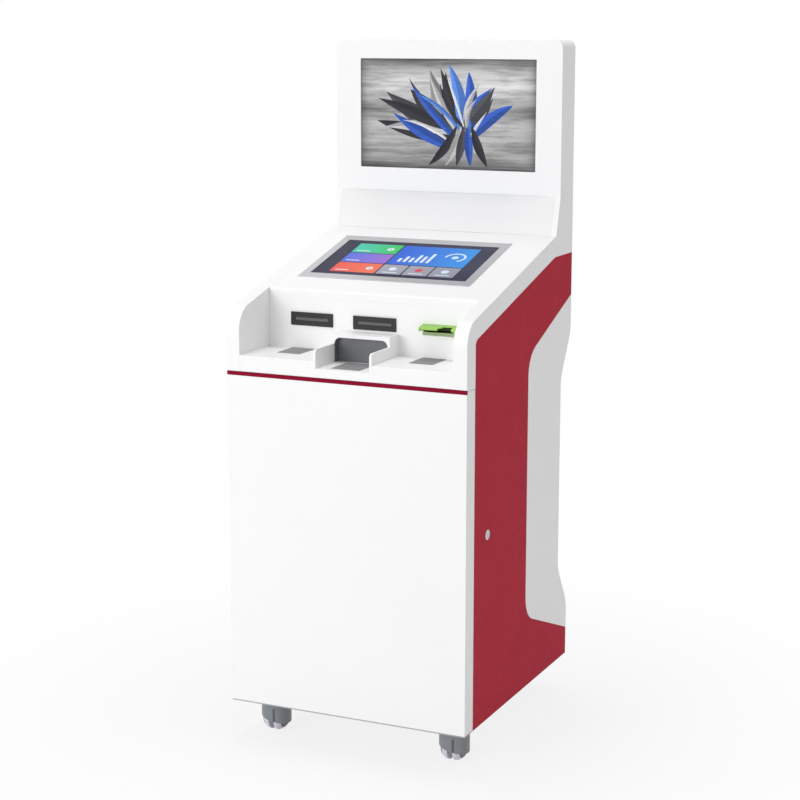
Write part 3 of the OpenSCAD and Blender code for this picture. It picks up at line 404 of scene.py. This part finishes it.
def slab(outline, z0, z1, edge=0.0):
    """Vertices and faces of a closed plate over an outline, with its upper edge rounded inwards."""
    cx = sum(p[0] for p in outline) / len(outline)
    cy = sum(p[1] for p in outline) / len(outline)

    def towards(value, centre, d):
        return value - math.copysign(min(d, abs(value - centre)), value - centre)

    def drawn(d):
        return [(towards(x, cx, d), towards(y, cy, d)) for x, y in outline]

    rings = [(outline, z0), (drawn(edge), z1)]
    if edge:
        rings[1:1] = [(outline, z1 - edge), (drawn(edge * EDGE_IN), z1 - edge * EDGE_DOWN)]
    verts = [(x, y, z) for ring, z in rings for x, y in ring]
    n = len(outline)
    faces = [tuple(reversed(range(n))), tuple(range(n * (len(rings) - 1), n * len(rings)))]
    for k in range(len(rings) - 1):
        for i in range(n):
            j = (i + 1) % n
            faces.append((k * n + i, k * n + j, k * n + n + j, k * n + n + i))
    return verts, faces


def lathe(profile, n=48, at=(0, 0, 0), turn=Matrix.Identity(3), hollow=False):
    """A turned shape round +Z from (radius, height) or (radius, height, sides) rings, top to bottom.

    It is closed by a flat face at each end, or when hollow by joining its last ring to its first.
    """
    verts, faces = [], []
    for ring in profile:
        sides = ring[2] if len(ring) > 2 else 0
        for i in range(n):
            a = math.tau * i / n
            r = ring[0]
            if sides:
                step = math.tau / sides
                r = r / math.cos((a % step) - step / 2)
            verts.append(tuple(Vector(at) + turn @ Vector((r * math.cos(a), r * math.sin(a), ring[1]))))
    rings = len(profile)
    for k in range(rings if hollow else rings - 1):
        below = (k + 1) % rings * n
        for i in range(n):
            j = (i + 1) % n
            faces.append((k * n + j, k * n + i, below + i, below + j))
    if not hollow:
        faces.append(tuple(range(n)))
        faces.append(tuple(reversed(range(n * (rings - 1), n * rings))))
    return verts, faces


# Upper screen: an abstract fan of blades

GLASS_LAP = 8.2  # the head covers this much of the glass all round
glass_low, glass_high = box_mm("upper_glass")
SCREEN_X = (glass_low.x + GLASS_LAP, glass_high.x - GLASS_LAP)
SCREEN_Z = (glass_low.z + GLASS_LAP, glass_high.z - GLASS_LAP)
# The picture's ground: share of its height and grey level of each band, colours at its foot and its top
GROUND_TONES = ((0.1, 158), (0.42, 192), (0.52, 134), (0.58, 168), (0.76, 228), (0.9, 186))
GROUND_ENDS = (grey(104), rgb(120, 120, 121))
RIM_HALF = 0.237  # in metres, half the width at which the rim is darkest
RIM_SIDE, RIM_RISE = 14.0, 12.0  # how suddenly the picture darkens towards its sides, and its foot and top
INK = {
    "coal": rgb(44, 44, 50), "night": rgb(70, 71, 78), "blue": rgb(44, 86, 178), "sky": rgb(78, 124, 204),
    "silver": rgb(182, 180, 180), "bright": rgb(226, 226, 228), "stone": rgb(128, 127, 128),
}
INK_STREAK = 0.35


def backdrop():
    """Grey picture ground: soft bands and streaks, darker towards the rim."""
    s = Shade("picture_ground")
    axes = s.axes()
    streak = s.noise(s.coords((2.2, 16, 1)), 3.4, detail=5.0, rough=0.62)
    blur = s.noise(s.coords((3, 60, 1)), 2.0, detail=3.0)
    lift = s.span(axes["Y"], 0.0, 1.0, SCREEN_Z[0] * MM, SCREEN_Z[1] * MM)
    tone = s.add("ShaderNodeValToRGB", {"Fac": lift}).outputs["Color"]
    ramp = tone.node.color_ramp
    for stop, colour in zip(ramp.elements, GROUND_ENDS):
        stop.color = colour
    for height, level in GROUND_TONES:
        ramp.elements.new(height).color = grey(level)
    tone = s.mix(s.span(streak, 0.0, 0.5, 0.44, 0.62), tone, rgb(76, 76, 78))
    tone = s.mix(s.span(blur, 0.0, 0.28, 0.45, 0.7), tone, grey(236))
    side = s.sums("DIVIDE", axes["X"], RIM_HALF)
    rise = s.span(lift, -1.0, 1.0, 0.0, 1.0)
    side_rim = s.sums("POWER", s.sums("ABSOLUTE", side), RIM_SIDE)
    rise_rim = s.sums("POWER", s.sums("ABSOLUTE", rise), RIM_RISE)
    dim = s.span(s.sums("MAXIMUM", side_rim, rise_rim), 0.0, 0.7, 0.0, 1.0)
    s.shine(s.mix(dim, tone, rgb(48, 48, 50)), blur)
    return s.mat


# Blades: bluntness of the root, least half width, place of the rib in the half width
BLADE_START, BLADE_LEAST, RIB_AT = 0.04, 0.15, 0.1


def blade(start, end, bow, wide, taper, steps=12):
    """Outlines in (x, z) of a curved blade, widest near its middle, and of its lit half."""
    a, b = Vector(start), Vector(end)
    along = (b - a).normalized()
    across = Vector((-along.y, along.x))
    left, right, rib = [], [], []
    for i in range(steps + 1):
        t = i / steps
        mid = a.lerp(b, t) + across * bow * 4 * t * (1 - t)
        swell = math.sin(math.pi * min(1.0, BLADE_START + t * (1 - BLADE_START)))
        half = wide * swell ** taper + BLADE_LEAST
        left.append(tuple(mid + across * half))
        right.append(tuple(mid - across * half))
        rib.append(tuple(mid + across * half * RIB_AT))
    return right + left[::-1], rib + left[::-1]


def ink_set(suffix, foot, top):
    """A lit material for each ink, scaled by foot at the picture's foot and by top at its top."""
    return {name: glow("picture_" + name + suffix, scaled(colour, foot), scaled(colour, top), "Y",
                       SCREEN_Z[0] * MM, SCREEN_Z[1] * MM, INK_STREAK) for name, colour in INK.items()}


GROUND_TOP, BLADE_TOP, BLADE_RISE = 0.2, 0.26, 0.012  # each blade lies a little higher than the one before
ROOT_X, ROOT_Z = 46.0, 1408.0  # where the blades spring from
TIP_X, TIP_Z = (-222, 222), (1358, 1604)  # the blades' tips stay inside these
inks = ink_set("", 0.72, 1.05)
lit_inks = ink_set("_lit", 1.15, 1.75)
fan = [slab(rectangle(SCREEN_X, SCREEN_Z), 0, GROUND_TOP) + (backdrop(),)]


def plume(start, end, bow, wide, taper, ink):
    """Adds a blade to the picture, its lit half lying just above it."""
    outlines = blade(start, end, bow, wide, taper)
    for outline, look in zip(outlines, (inks[ink], lit_inks[ink])):
        fan.append(slab(outline, GROUND_TOP, BLADE_TOP + BLADE_RISE * len(fan)) + (look,))


def clamp(value, limits):
    """A value kept inside its limits."""
    return max(limits[0], min(limits[1], value))


# Layers of blades: inks in turn, first and last angle, share of the reach, half width
LAYERS = (
    ("coal night coal stone coal night coal night", 168, 46, 1.0, (17, 26)),
    ("silver coal blue night blue silver coal sky blue coal silver blue night blue", 172, 40, 0.92,
     (8, 17)),
    ("bright sky coal bright sky silver bright", 158, 58, 0.7, (2.5, 6)),
)
# Ranges of the random draws
SWAY, REACH, ROOT_SHIFT_X, ROOT_SHIFT_Z = (-4, 4), (225, 266), (-30, 30), (-18, 34)
BOW, TAPER = (-16, 20), (0.7, 1.2)
UPRIGHT_CUT, RIGHT_SHARE = 0.24, 0.72  # upright blades, and those on the right, are shorter
random.seed(1812)
for ink_names, first, last, share, widths in LAYERS:
    turn = ink_names.split()
    for i, ink in enumerate(turn):
        angle = math.radians(first + (last - first) * i / (len(turn) - 1) + random.uniform(*SWAY))
        reach = share * random.uniform(*REACH) * (1.0 - UPRIGHT_CUT * max(0.0, math.sin(angle)) ** 2)
        reach *= 1.0 if math.cos(angle) < 0 else RIGHT_SHARE
        x = ROOT_X + random.uniform(*ROOT_SHIFT_X)
        z = ROOT_Z + random.uniform(*ROOT_SHIFT_Z)
        tip = (clamp(x + reach * math.cos(angle), TIP_X), clamp(z + reach * math.sin(angle), TIP_Z))
        plume((x, z), tip, random.uniform(*BOW), random.uniform(*widths), random.uniform(*TAPER), ink)
# Stems: spread and ink of each, then how the spread places the head and the foot
STEMS = ((0, "coal"), (24, "silver"), (40, "night"), (60, "blue"), (84, "coal"))
STEM_TOP, STEM_FOOT, STEM_HALF, STEM_TAPER = ROOT_Z + 44, 1354, 11.0, 0.9
TOP_X, TOP_SPREAD, FOOT_X, FOOT_SPREAD = ROOT_X - 20, 0.5, ROOT_X - 96, 1.9
FIRST_BOW, BOW_STEP = 8, 3
for i, (spread, ink) in enumerate(STEMS):
    head = (TOP_X + spread * TOP_SPREAD, STEM_TOP)
    foot = (FOOT_X + spread * FOOT_SPREAD, STEM_FOOT)
    plume(head, foot, FIRST_BOW - BOW_STEP * i, STEM_HALF, STEM_TAPER, ink)
solid("upper_picture", fan, "cabinet", inks["stone"], front_at(glass_low.y))

# Touch screen: plain tiles

PAGE_LAP = 12.8  # dark glass at the left and right of the page
touch_low, touch_high = box_mm("touch_glass")
PAGE_X = (touch_low.x + PAGE_LAP, touch_high.x - PAGE_LAP)
PAGE_UP = (257.0, 480.0)  # lower and upper end, measured up the slope from the front
UI_X, UI_UP = (-171.0, 153.0), (276.0, 461.0)  # the tiles' area
COLUMN, GAP = -52.0, 4.0  # right end of the left column, gap between tiles
# Lower and upper face of the picture's layers
GROUND, CARD, MARK, BADGE = (0.02, 0.1), (0.1, 0.16), (0.16, 0.2), (0.2, 0.24)
PAGE_R, TILE_R, LINE_R = 1.5, 3.0, 1.6  # radii of the corners
DISC_SIDES, DISC_R, LINE_TALL = 28, 9, 4
LEFT, RIGHT = (UI_X[0], COLUMN), (COLUMN, UI_X[1])  # where a tile's colour changes
TILE_COLOURS = {
    "green": (rgb(72, 200, 178), rgb(60, 200, 96), LEFT),
    "violet": (rgb(84, 116, 226), rgb(158, 112, 208), LEFT),
    "coral": (rgb(238, 92, 78), rgb(240, 122, 92), LEFT),
    "blue": (rgb(50, 96, 214), rgb(58, 148, 230), RIGHT),
    "grey": (rgb(170, 170, 184), rgb(150, 152, 164), RIGHT),
    "light": (rgb(226, 236, 246), rgb(206, 226, 246), RIGHT),
    "rose": (rgb(222, 84, 96), rgb(214, 70, 84), RIGHT),
}
tile_looks = {name: glow("tile_" + name, start, stop, "X", ends[0] * MM, ends[1] * MM)
              for name, (start, stop, ends) in TILE_COLOURS.items()}
page_look = glow("screen_ground", rgb(52, 52, 74), rgb(58, 58, 80), "X", -0.2, 0.2)
ui = [slab(rounded(*PAGE_X, *PAGE_UP, PAGE_R), *GROUND) + (page_look,)]


def tile(x0, x1, low, high, look, r=TILE_R, layer=CARD):
    """Adds a tile, bar or line to the page."""
    ui.append(slab(rounded(x0, x1, low, high, r), *layer) + (tile_looks[look],))


def disc(x, y, r, look):
    """Adds a round mark to the page."""
    circle = arc(x, y, r, [360 * i / DISC_SIDES for i in range(DISC_SIDES)])
    ui.append(slab(circle, *MARK) + (tile_looks[look],))


# Left column: three tiles, each with a line and a disc that carries a mark
DISC_IN, MARK_HALF, MARK_R, LINE_IN, LINE_LONG = 24, 2, 1.5, 10, 36
row = (UI_UP[1] - UI_UP[0] - 2 * GAP) / 3
for k, look in enumerate(("coral", "violet", "green")):
    low = UI_UP[0] + k * (row + GAP)
    x, up = COLUMN - DISC_IN, low + row / 2
    tile(*LEFT, low, low + row, look)
    disc(x, up, DISC_R, look if k == 1 else "light")
    tile(x - MARK_HALF, x + MARK_HALF, up - DISC_R / 2, up + DISC_R / 2, look, MARK_R, BADGE)
    line_x, line_low = UI_X[0] + LINE_IN, low + LINE_IN
    tile(line_x, line_x + LINE_LONG, line_low, line_low + LINE_TALL, "light", LINE_R, MARK)
# Large tile: bars and a dial
chart_x, chart_low = COLUMN + GAP, UI_UP[0] + row + GAP
tile(chart_x, UI_X[1], chart_low, UI_UP[1], "blue")
BARS, BAR_X, BAR_STEP, BAR_WIDE, BAR_FOOT = (22, 36, 29, 48, 41, 60), COLUMN + 24, 15, 8, chart_low + 18
BAR_R = 2.0
for k, tall in enumerate(BARS):
    x = BAR_X + k * BAR_STEP
    tile(x, x + BAR_WIDE, BAR_FOOT, BAR_FOOT + tall, "light", BAR_R, MARK)
DIAL_X, DIAL_UP, DIAL_OUT, DIAL_IN = UI_X[1] - 44, (chart_low + UI_UP[1]) / 2, 28, 22
DIAL_TURN = range(-60, 181, 10)
dial = arc(DIAL_X, DIAL_UP, DIAL_OUT, DIAL_TURN) + arc(DIAL_X, DIAL_UP, DIAL_IN, reversed(DIAL_TURN))
ui.append(slab(dial, *MARK) + (tile_looks["light"],))
disc(DIAL_X, DIAL_UP, DISC_R, "light")
# Foot: three keys, each with a disc and a line
KEY_DISC_R, KEY_DISC_UP, KEY_LINE_X, KEY_LINE_UP = 10, 0.56, (0.2, 0.8), UI_UP[0] + 9
third = (UI_X[1] - COLUMN - 3 * GAP) / 3
for k in range(3):
    x = chart_x + k * (third + GAP)
    tile(x, x + third, UI_UP[0], UI_UP[0] + row, "grey")
    disc(x + third / 2, UI_UP[0] + row * KEY_DISC_UP, KEY_DISC_R, "rose" if k == 1 else "light")
    line_x = [x + third * share for share in KEY_LINE_X]
    tile(*line_x, KEY_LINE_UP, KEY_LINE_UP + LINE_TALL, "light", LINE_R, MARK)
solid("touch_picture", ui, "cabinet", tile_looks["grey"], ON_SLOPE)

# Casters: domed wheel caps with hubs, and dark strips in the hoods' grooves as painted shade

AXLE_Z, CAP_BALL = 31.0, 33.5  # height of the axles, radius of the ball that the caps' rims follow
# Radius of each ring of the hub, and how far it stands out of the wheel's face
CAP_HUB = ((2.0, 2.4), (5.2, 2.4), (6.6, 1.6), (7.2, 0.55), (12.6, 0.55), (13.2, 0.1), (15.0, 0.1),
           (15.6, 0.55))
CAP_RIM = [math.radians(52.8 - 2.4 * k) for k in range(5)]  # angles above the wheel's plane
CAP_LIP, CAP_END_R, CAP_END_DEPTH = (0.6, 0.9), 12.0, 6.0  # the rim's turn inwards, and the cap's end
CAP_SIDES = 56
SEAM_HALF, SEAM_Z, SEAM_DEPTHS, SEAM_TURN = 2.8, (28.4, 61.5), (35.3, 35.8), 17
SEAM_R, SEAM_EDGE = 0.8, 0.15


def cap_profile(face):
    """Rings of a wheel cap round its axle: hub, rim on the ball and sunk end; face is the wheel's face."""
    rings = [(r, face + proud) for r, proud in CAP_HUB]
    rings += [(CAP_BALL * math.cos(t), CAP_BALL * math.sin(t)) for t in CAP_RIM]
    lip = (rings[-1][0] - CAP_LIP[0], rings[-1][1] - CAP_LIP[1])
    return rings + [lip, (CAP_END_R, face - CAP_END_DEPTH)]


for corner in ("fl", "fr", "rl", "rr"):
    low, high = box_mm("caster_wheels_" + corner)
    x, y = (low.x + high.x) / 2, (low.y + high.y) / 2
    profile = cap_profile((high.x - low.x) / 2)
    caps = [lathe(profile, CAP_SIDES, (x, y, AXLE_Z), way) for way in (TO_RIGHT, TO_LEFT)]
    solid("wheel_caps_" + corner, caps, "wheels_" + corner, mats["hub_grey"], smooth=True)
    # A dark strip in the hood's groove: painted shade of the groove
    seam = slab(rounded(-SEAM_HALF, SEAM_HALF, *SEAM_Z, SEAM_R), *SEAM_DEPTHS, SEAM_EDGE)
    turned = Matrix.Translation((x * MM, y * MM, 0)) @ Matrix.Rotation(math.radians(SEAM_TURN), 4, "Z")
    solid("hood_groove_shade_" + corner, [seam], "caster_" + corner, mats["groove_painted_shade"],
          turned @ ON_FRONT)

# Card mouth: painted shade in its flared slot and thumb notch, laid as thin dark strips

CARD_X, _, CARD_Z = middle("card_bezel")
CARD_Y = box_mm("card_bezel")[0].y
# Slot: half height at the front, depth of the flare, half height behind it, depth of the slot's end
FLARE, FLARE_D, SLOT_HALF, SLOT_END = 3.2, 15.0, 1.5, 26.6
PROUD, SEATED = 0.3, 0.1  # the dark strips stand this far out of the slot's face, and reach this far into it
UPPER_X, UPPER_FRONT = (-39.8, 1.6), 0.9  # strip of painted shade on the upper face: its ends and its front
LOWER_X, LOWER_FRONT = (-29.5, 39.8), 8.8  # strip of painted shade on the lower face
# Thumb notch: front and back of its slanted side, from the middle of the mouth's front
NOTCH_FRONT, NOTCH_BACK = Vector((2.0, 0.0)), Vector((11.0, 14.0))
SHORT_FRONT, SHORT_BACK = 0.6, 0.2  # the strip on the notch's side stops this far short of its ends
SIDE_SKIN = (-0.1, 0.35)  # faces of the strip on the notch's side, from the side inwards
BACK_X, BACK_DEPTHS = (11.2, 35.7), (13.6, 14.1)  # ends and faces of the strip on the notch's back
LOW_FRONT, LOW_BACK, SIDE_TOP, BACK_TOP = 3.1, 1.7, 7.6, 10.1  # heights over the middle of the slot


def shade_strip(x0, x1, depths, side):
    """Painted shade on one face of the slot: a thin dark strip over depths behind its front; side is 1
    above, -1 below.
    """
    ring = []
    for d in depths:
        half = FLARE + (SLOT_HALF - FLARE) * min(d, FLARE_D) / FLARE_D
        ring.append((CARD_Y + d, CARD_Z + side * (half - PROUD), CARD_Z + side * (half + SEATED)))
    loop = [(y, inner) for y, inner, _ in ring] + [(y, outer) for y, _, outer in reversed(ring)]
    n = len(loop)
    verts = [(x, y, z) for x in (CARD_X + x0, CARD_X + x1) for y, z in loop]
    faces = [tuple(range(n)), tuple(range(2 * n - 1, n - 1, -1))]
    faces += [(i, i + n, (i + 1) % n + n, (i + 1) % n) for i in range(n)]
    if side > 0:
        faces = [face[::-1] for face in faces]
    return verts, faces


def notch_side():
    """Painted shade on the notch's slanted side, as a thin dark strip."""
    slant = (NOTCH_BACK - NOTCH_FRONT).normalized()
    inward = Vector((slant.y, -slant.x))
    start, stop = NOTCH_FRONT + slant * SHORT_FRONT, NOTCH_BACK - slant * SHORT_BACK
    seat, skin = SIDE_SKIN
    ends = ((start, seat), (start, skin), (stop, skin), (stop, seat))
    outline = [tuple(Vector((CARD_X, CARD_Y)) + end + inward * off) for end, off in ends]
    verts, faces = slab(outline, CARD_Z + LOW_FRONT, CARD_Z + SIDE_TOP)
    for i in (2, 3):  # the flare's upper face comes down towards the back
        verts[i] = verts[i][:2] + (CARD_Z + LOW_BACK,)
    return verts, faces


def notch_back():
    """Painted shade on the notch's back, as a thin dark strip."""
    outline = rectangle([CARD_X + x for x in BACK_X], [CARD_Y + y for y in BACK_DEPTHS])
    return slab(outline, CARD_Z + LOW_BACK, CARD_Z + BACK_TOP)


above = shade_strip(*UPPER_X, (UPPER_FRONT, FLARE_D, SLOT_END), 1)
beneath = shade_strip(*LOWER_X, (LOWER_FRONT, FLARE_D, SLOT_END), -1)
solid("card_slot_painted_shade", [above, beneath, notch_side(), notch_back()], "cabinet", mats["slot_painted_shade"])

# Riser: its ends ease out to the side panels' rims

riser_low, riser_high = box_mm("riser")
KNEE_Y, KNEE_Z = riser_low.y, riser_low.z
RISER_Y, RISER_TOP = 255.68, riser_high.z - 0.2  # the riser's face at its top
RIM_Y = 245.95  # the rims at that height
RISER_END, EASE_W = riser_high.x - 1.8, 150.0  # outer end, and width over which the riser eases out
SUNK, SKIN = 0.06, 0.5  # depth of the skin's inner edge in the riser, and its thickness


def riser_ease(side, columns=24, rows=12):
    """A closed skin at one end of the riser, level with the rim outside and sunk in the riser inside."""
    verts, faces = [], []
    for front in (True, False):
        for i in range(columns + 1):
            u = i / columns
            swell = (RISER_Y - RIM_Y) * (1 - u * u * (3 - 2 * u)) if front else SUNK - SKIN
            for j in range(rows + 1):
                v = j / rows
                y = KNEE_Y + (RISER_Y - KNEE_Y) * v + SUNK - swell * (v if front else 1)
                verts.append((side * (RISER_END - EASE_W * u), y, KNEE_Z + (RISER_TOP - KNEE_Z) * v))
    step, back = rows + 1, (columns + 1) * (rows + 1)
    for i in range(columns):
        for j in range(rows):
            quad = (i * step + j, (i + 1) * step + j, (i + 1) * step + j + 1, i * step + j + 1)
            faces += [quad, tuple(k + back for k in reversed(quad))]
    rim = [i * step for i in range(columns + 1)] + [columns * step + j for j in range(1, rows + 1)]
    rim += [i * step + rows for i in range(columns - 1, -1, -1)] + list(range(rows - 1, 0, -1))
    for a, b in zip(rim, rim[1:] + rim[:1]):
        faces.append((b, a, a + back, b + back))
    return verts, faces if side < 0 else [face[::-1] for face in faces]


for side, name in ((-1, "left"), (1, "right")):
    solid("riser_ease_" + name, [riser_ease(side)], "cabinet", mats["riser_white_painted_shade"],
          smooth=True)

# Fasteners and lock

STEEL = mats["inner_steel"]
SCREW = [(1.9, 0.3, 6), (1.9, 1.35, 6), (2.9, 1.35), (3.9, 1.1), (4.5, 0.55), (4.6, 0.0), (3.0, -0.5)]
SCREW_SIDES = 24
BACK_Y = cad_high[1] / MM
COVER_X, COVER_Z = (-251.0, 251.0), (116.0, 180.6, 1004.0, 1269.0)  # screws of the rear covers
HEAD_X, HEAD_Z = (-280.0, 280.0), (1314.0, 1640.0)  # screws of the head's back
spots = [(x, z) for xs, zs in ((COVER_X, COVER_Z), (HEAD_X, HEAD_Z)) for x in xs for z in zs]
solid("screw_heads", [lathe(SCREW, SCREW_SIDES, (x, BACK_Y, z), TO_BACK) for x, z in spots], "cabinet",
      STEEL, smooth=True)
RING = [(9.0, 0.3), (9.6, 0.9), (11.2, 0.9), (12.0, 0.4), (12.2, -0.2), (9.0, -0.2)]
_, lock_y, lock_z = middle("lock_barrel")
lock_x = box_mm("lock_barrel")[1].x
solid("lock_ring", [lathe(RING, at=(lock_x, lock_y, lock_z), turn=TO_RIGHT, hollow=True)], "cabinet",
      STEEL, smooth=True)

# Equipment behind the door

SEAT = 0.2  # each piece starts this far inside what carries it
pc_low, pc_high = box_mm("computer")
LID_IN, LID_TOP = (3, 4), pc_high.z + 1.4  # the lid's edges from the computer's, across and front to back
LID_SCREW_IN = (14, 16)
lid_x = (pc_low.x + LID_IN[0], pc_high.x - LID_IN[0])
lid_y = (pc_low.y + LID_IN[1], pc_high.y - LID_IN[1])
lid = [slab(rounded(*lid_x, *lid_y, r=4), pc_high.z - SEAT, LID_TOP, edge=0.6)]
for x in (pc_low.x + LID_SCREW_IN[0], pc_high.x - LID_SCREW_IN[0]):
    for y in (pc_low.y + LID_SCREW_IN[1], pc_high.y - LID_SCREW_IN[1]):
        lid.append(lathe(SCREW, SCREW_SIDES, (x, y, LID_TOP)) + (STEEL,))
solid("computer_lid", lid, "cabinet", mats["housing_grey"], smooth=True)

BUTTON = [(3.2, 1.2), (5.4, 1.2), (5.8, 1.7), (7.0, 1.7), (7.6, 1.2), (7.6, -0.3)]
BUTTON_SIDES = 40
BUTTON_IN, LIGHT_IN, PORT_IN, PORT_PITCH = 18, (35, 31), (58, 44), 20  # from the right end of the panel
LIGHT_HALF, LIGHT_TOP = 2, 0.7
PORT_HALF, PORT_WALL, PORT_TOP, PORT_STEP = 4, 1, 0.8, 0.1  # a port's parts stand a step above each other
TONGUE_IN, TONGUE_Z = 2, (-0.4, 1.6)
right, mid = pc_high.x, (pc_low.z + pc_high.z) / 2
ready_look = glow("ready_light", rgb(70, 190, 110), rgb(90, 210, 120), "Y", 0.1, 0.2)
button = lathe(BUTTON, BUTTON_SIDES, (right - BUTTON_IN, mid, 0))
ready = slab(rounded(right - LIGHT_IN[0], right - LIGHT_IN[1], mid - LIGHT_HALF, mid + LIGHT_HALF, r=1.8),
             -SEAT, LIGHT_TOP, edge=0.3)
panel = [button + (STEEL,), ready + (ready_look,)]
for k in range(2):
    x0, x1 = right - PORT_IN[0] - PORT_PITCH * k, right - PORT_IN[1] - PORT_PITCH * k
    shell = slab(rounded(x0, x1, mid - PORT_HALF, mid + PORT_HALF, r=1), -SEAT, PORT_TOP, edge=0.3)
    inner = PORT_HALF - PORT_WALL
    mouth = slab(rounded(x0 + PORT_WALL, x1 - PORT_WALL, mid - inner, mid + inner, r=0.6),
                 PORT_TOP - PORT_STEP, PORT_TOP + PORT_STEP)
    tongue = slab(rounded(x0 + TONGUE_IN, x1 - TONGUE_IN, mid + TONGUE_Z[0], mid + TONGUE_Z[1], r=0.3),
                  PORT_TOP, PORT_TOP + 2 * PORT_STEP)
    panel += [shell + (STEEL,), mouth + (mats["black_plastic"],), tongue + (mats["dark_window"],)]
solid("computer_panel", panel, "cabinet", mats["housing_grey"], front_at(pc_low.y),
      smooth=True)

psu_low, psu_high = box_mm("power_supply")
END_IN, POLES, BLOCK_TOP = 10, 6, 7.0  # distance from the supply's ends, terminals, height of their block
BLOCK_Z = (psu_low.z + 12, psu_low.z + 28)
WALL_HALF, WALL_IN, WALL_TALL = 0.7, 0.5, 2.4  # walls between the terminals
block_x = (psu_low.x + END_IN, psu_high.x - END_IN)
block_w = block_x[1] - block_x[0]
block = [slab(rounded(*block_x, *BLOCK_Z, r=1.5), -SEAT, BLOCK_TOP, edge=0.8)]
for k in range(POLES):
    x = block_x[0] + block_w / POLES * (k + 0.5)
    block.append(lathe(SCREW, SCREW_SIDES, (x, sum(BLOCK_Z) / 2, BLOCK_TOP)) + (STEEL,))
    if k:
        x -= block_w / POLES / 2
        wall = rounded(x - WALL_HALF, x + WALL_HALF, BLOCK_Z[0] + WALL_IN, BLOCK_Z[1] - WALL_IN, r=0.6)
        block.append(slab(wall, BLOCK_TOP - SEAT, BLOCK_TOP + WALL_TALL, edge=0.3))
solid("supply_terminals", block, "cabinet", mats["black_plastic"], front_at(psu_low.y),
      smooth=True)
FINS, FIN_HALF, FIN_IN, FIN_TALL = 9, 1.1, 8, 5
fins = []
for k in range(FINS):
    x = block_x[0] + block_w * k / (FINS - 1)
    outline = rounded(x - FIN_HALF, x + FIN_HALF, psu_low.y + FIN_IN, psu_high.y - FIN_IN, r=1)
    fins.append(slab(outline, psu_high.z - SEAT, psu_high.z + FIN_TALL, edge=0.5))
solid("supply_fins", fins, "cabinet", STEEL, smooth=True)

# Light, floor and camera, in metres

AMBIENT = 0.60
FLOOR_GREY, FLOOR_R, FLOOR_SIDES = (0.86, 0.86, 0.86, 1), 40, 96
# The floor is mostly white of itself near the kiosk, where shadows still show, and all of it further out
NEAR, FAR, NEAR_SHARE = 0.35, 1.5, 0.8
CAMERA_AT, CAMERA_TILT, CAMERA_TURN, LENS = (1.9084, -4.1425, 1.7018), 78.83, 24.89, 85.6

world = bpy.data.worlds.new("studio")
scene.world = world
world.use_nodes = True
sky = Nodes(world.node_tree)
sky.tree.nodes.clear()
light, paper = (sky.add("ShaderNodeBackground", {"Color": PURE_WHITE, "Strength": strength}).outputs[0]
                for strength in (AMBIENT, 1.0))
sky.show("ShaderNodeOutputWorld", sky.background_rays(), light, paper)


def lamp(name, at, look, size, power):
    """A round soft lamp that points at look."""
    data = bpy.data.lights.new(name, "AREA")
    data.shape = "DISK"
    data.size = size
    data.energy = power
    obj = bpy.data.objects.new(name, data)
    scene.collection.objects.link(obj)
    obj.location = at
    obj.rotation_euler = (Vector(look) - Vector(at)).to_track_quat("-Z", "Y").to_euler()


lamp("front", at=(-2.4, -6.4, 2.3), look=(0, 0, 0.9), size=3.6, power=184)
lamp("top", at=(-0.45, 0.4, 5.6), look=(0, 0.2, 1.2), size=2.0, power=70)

floor_mat = bpy.data.materials.new("floor")
floor_mat.use_nodes = True
ground = Nodes(floor_mat.node_tree)
ground.tree.nodes.clear()
distance = ground.add("ShaderNodeVectorMath", {0: ground.place()}, operation="LENGTH").outputs["Value"]
fade = ground.span(distance, NEAR_SHARE, 1.0, NEAR, FAR, "SMOOTHSTEP")
matte = ground.add("ShaderNodeBsdfDiffuse", {"Color": FLOOR_GREY}).outputs[0]
bright = ground.add("ShaderNodeEmission", {"Color": PURE_WHITE, "Strength": 1.0}).outputs[0]
white_share = ground.sums("MULTIPLY", ground.background_rays(), fade)
ground.show("ShaderNodeOutputMaterial", white_share, matte, bright)
mesh = bpy.data.meshes.new("floor")
rim = arc(0, 0, FLOOR_R, [360 * i / FLOOR_SIDES for i in range(FLOOR_SIDES)])
mesh.from_pydata([(x, y, 0) for x, y in rim], [], [tuple(range(FLOOR_SIDES))])
mesh.materials.append(floor_mat)
floor = bpy.data.objects.new("floor", mesh)
scene.collection.objects.link(floor)
floor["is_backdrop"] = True

camera = bpy.data.cameras.new("camera")
camera.lens = LENS
camera.sensor_width = 36
camera.clip_end = 100
view = bpy.data.objects.new("camera", camera)
view.location = CAMERA_AT
view.rotation_euler = (math.radians(CAMERA_TILT), 0, math.radians(CAMERA_TURN))
scene.collection.objects.link(view)
scene.camera = view
scene.view_settings.view_transform = "Standard"

# Bounds of all that the scene draws

low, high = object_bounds()
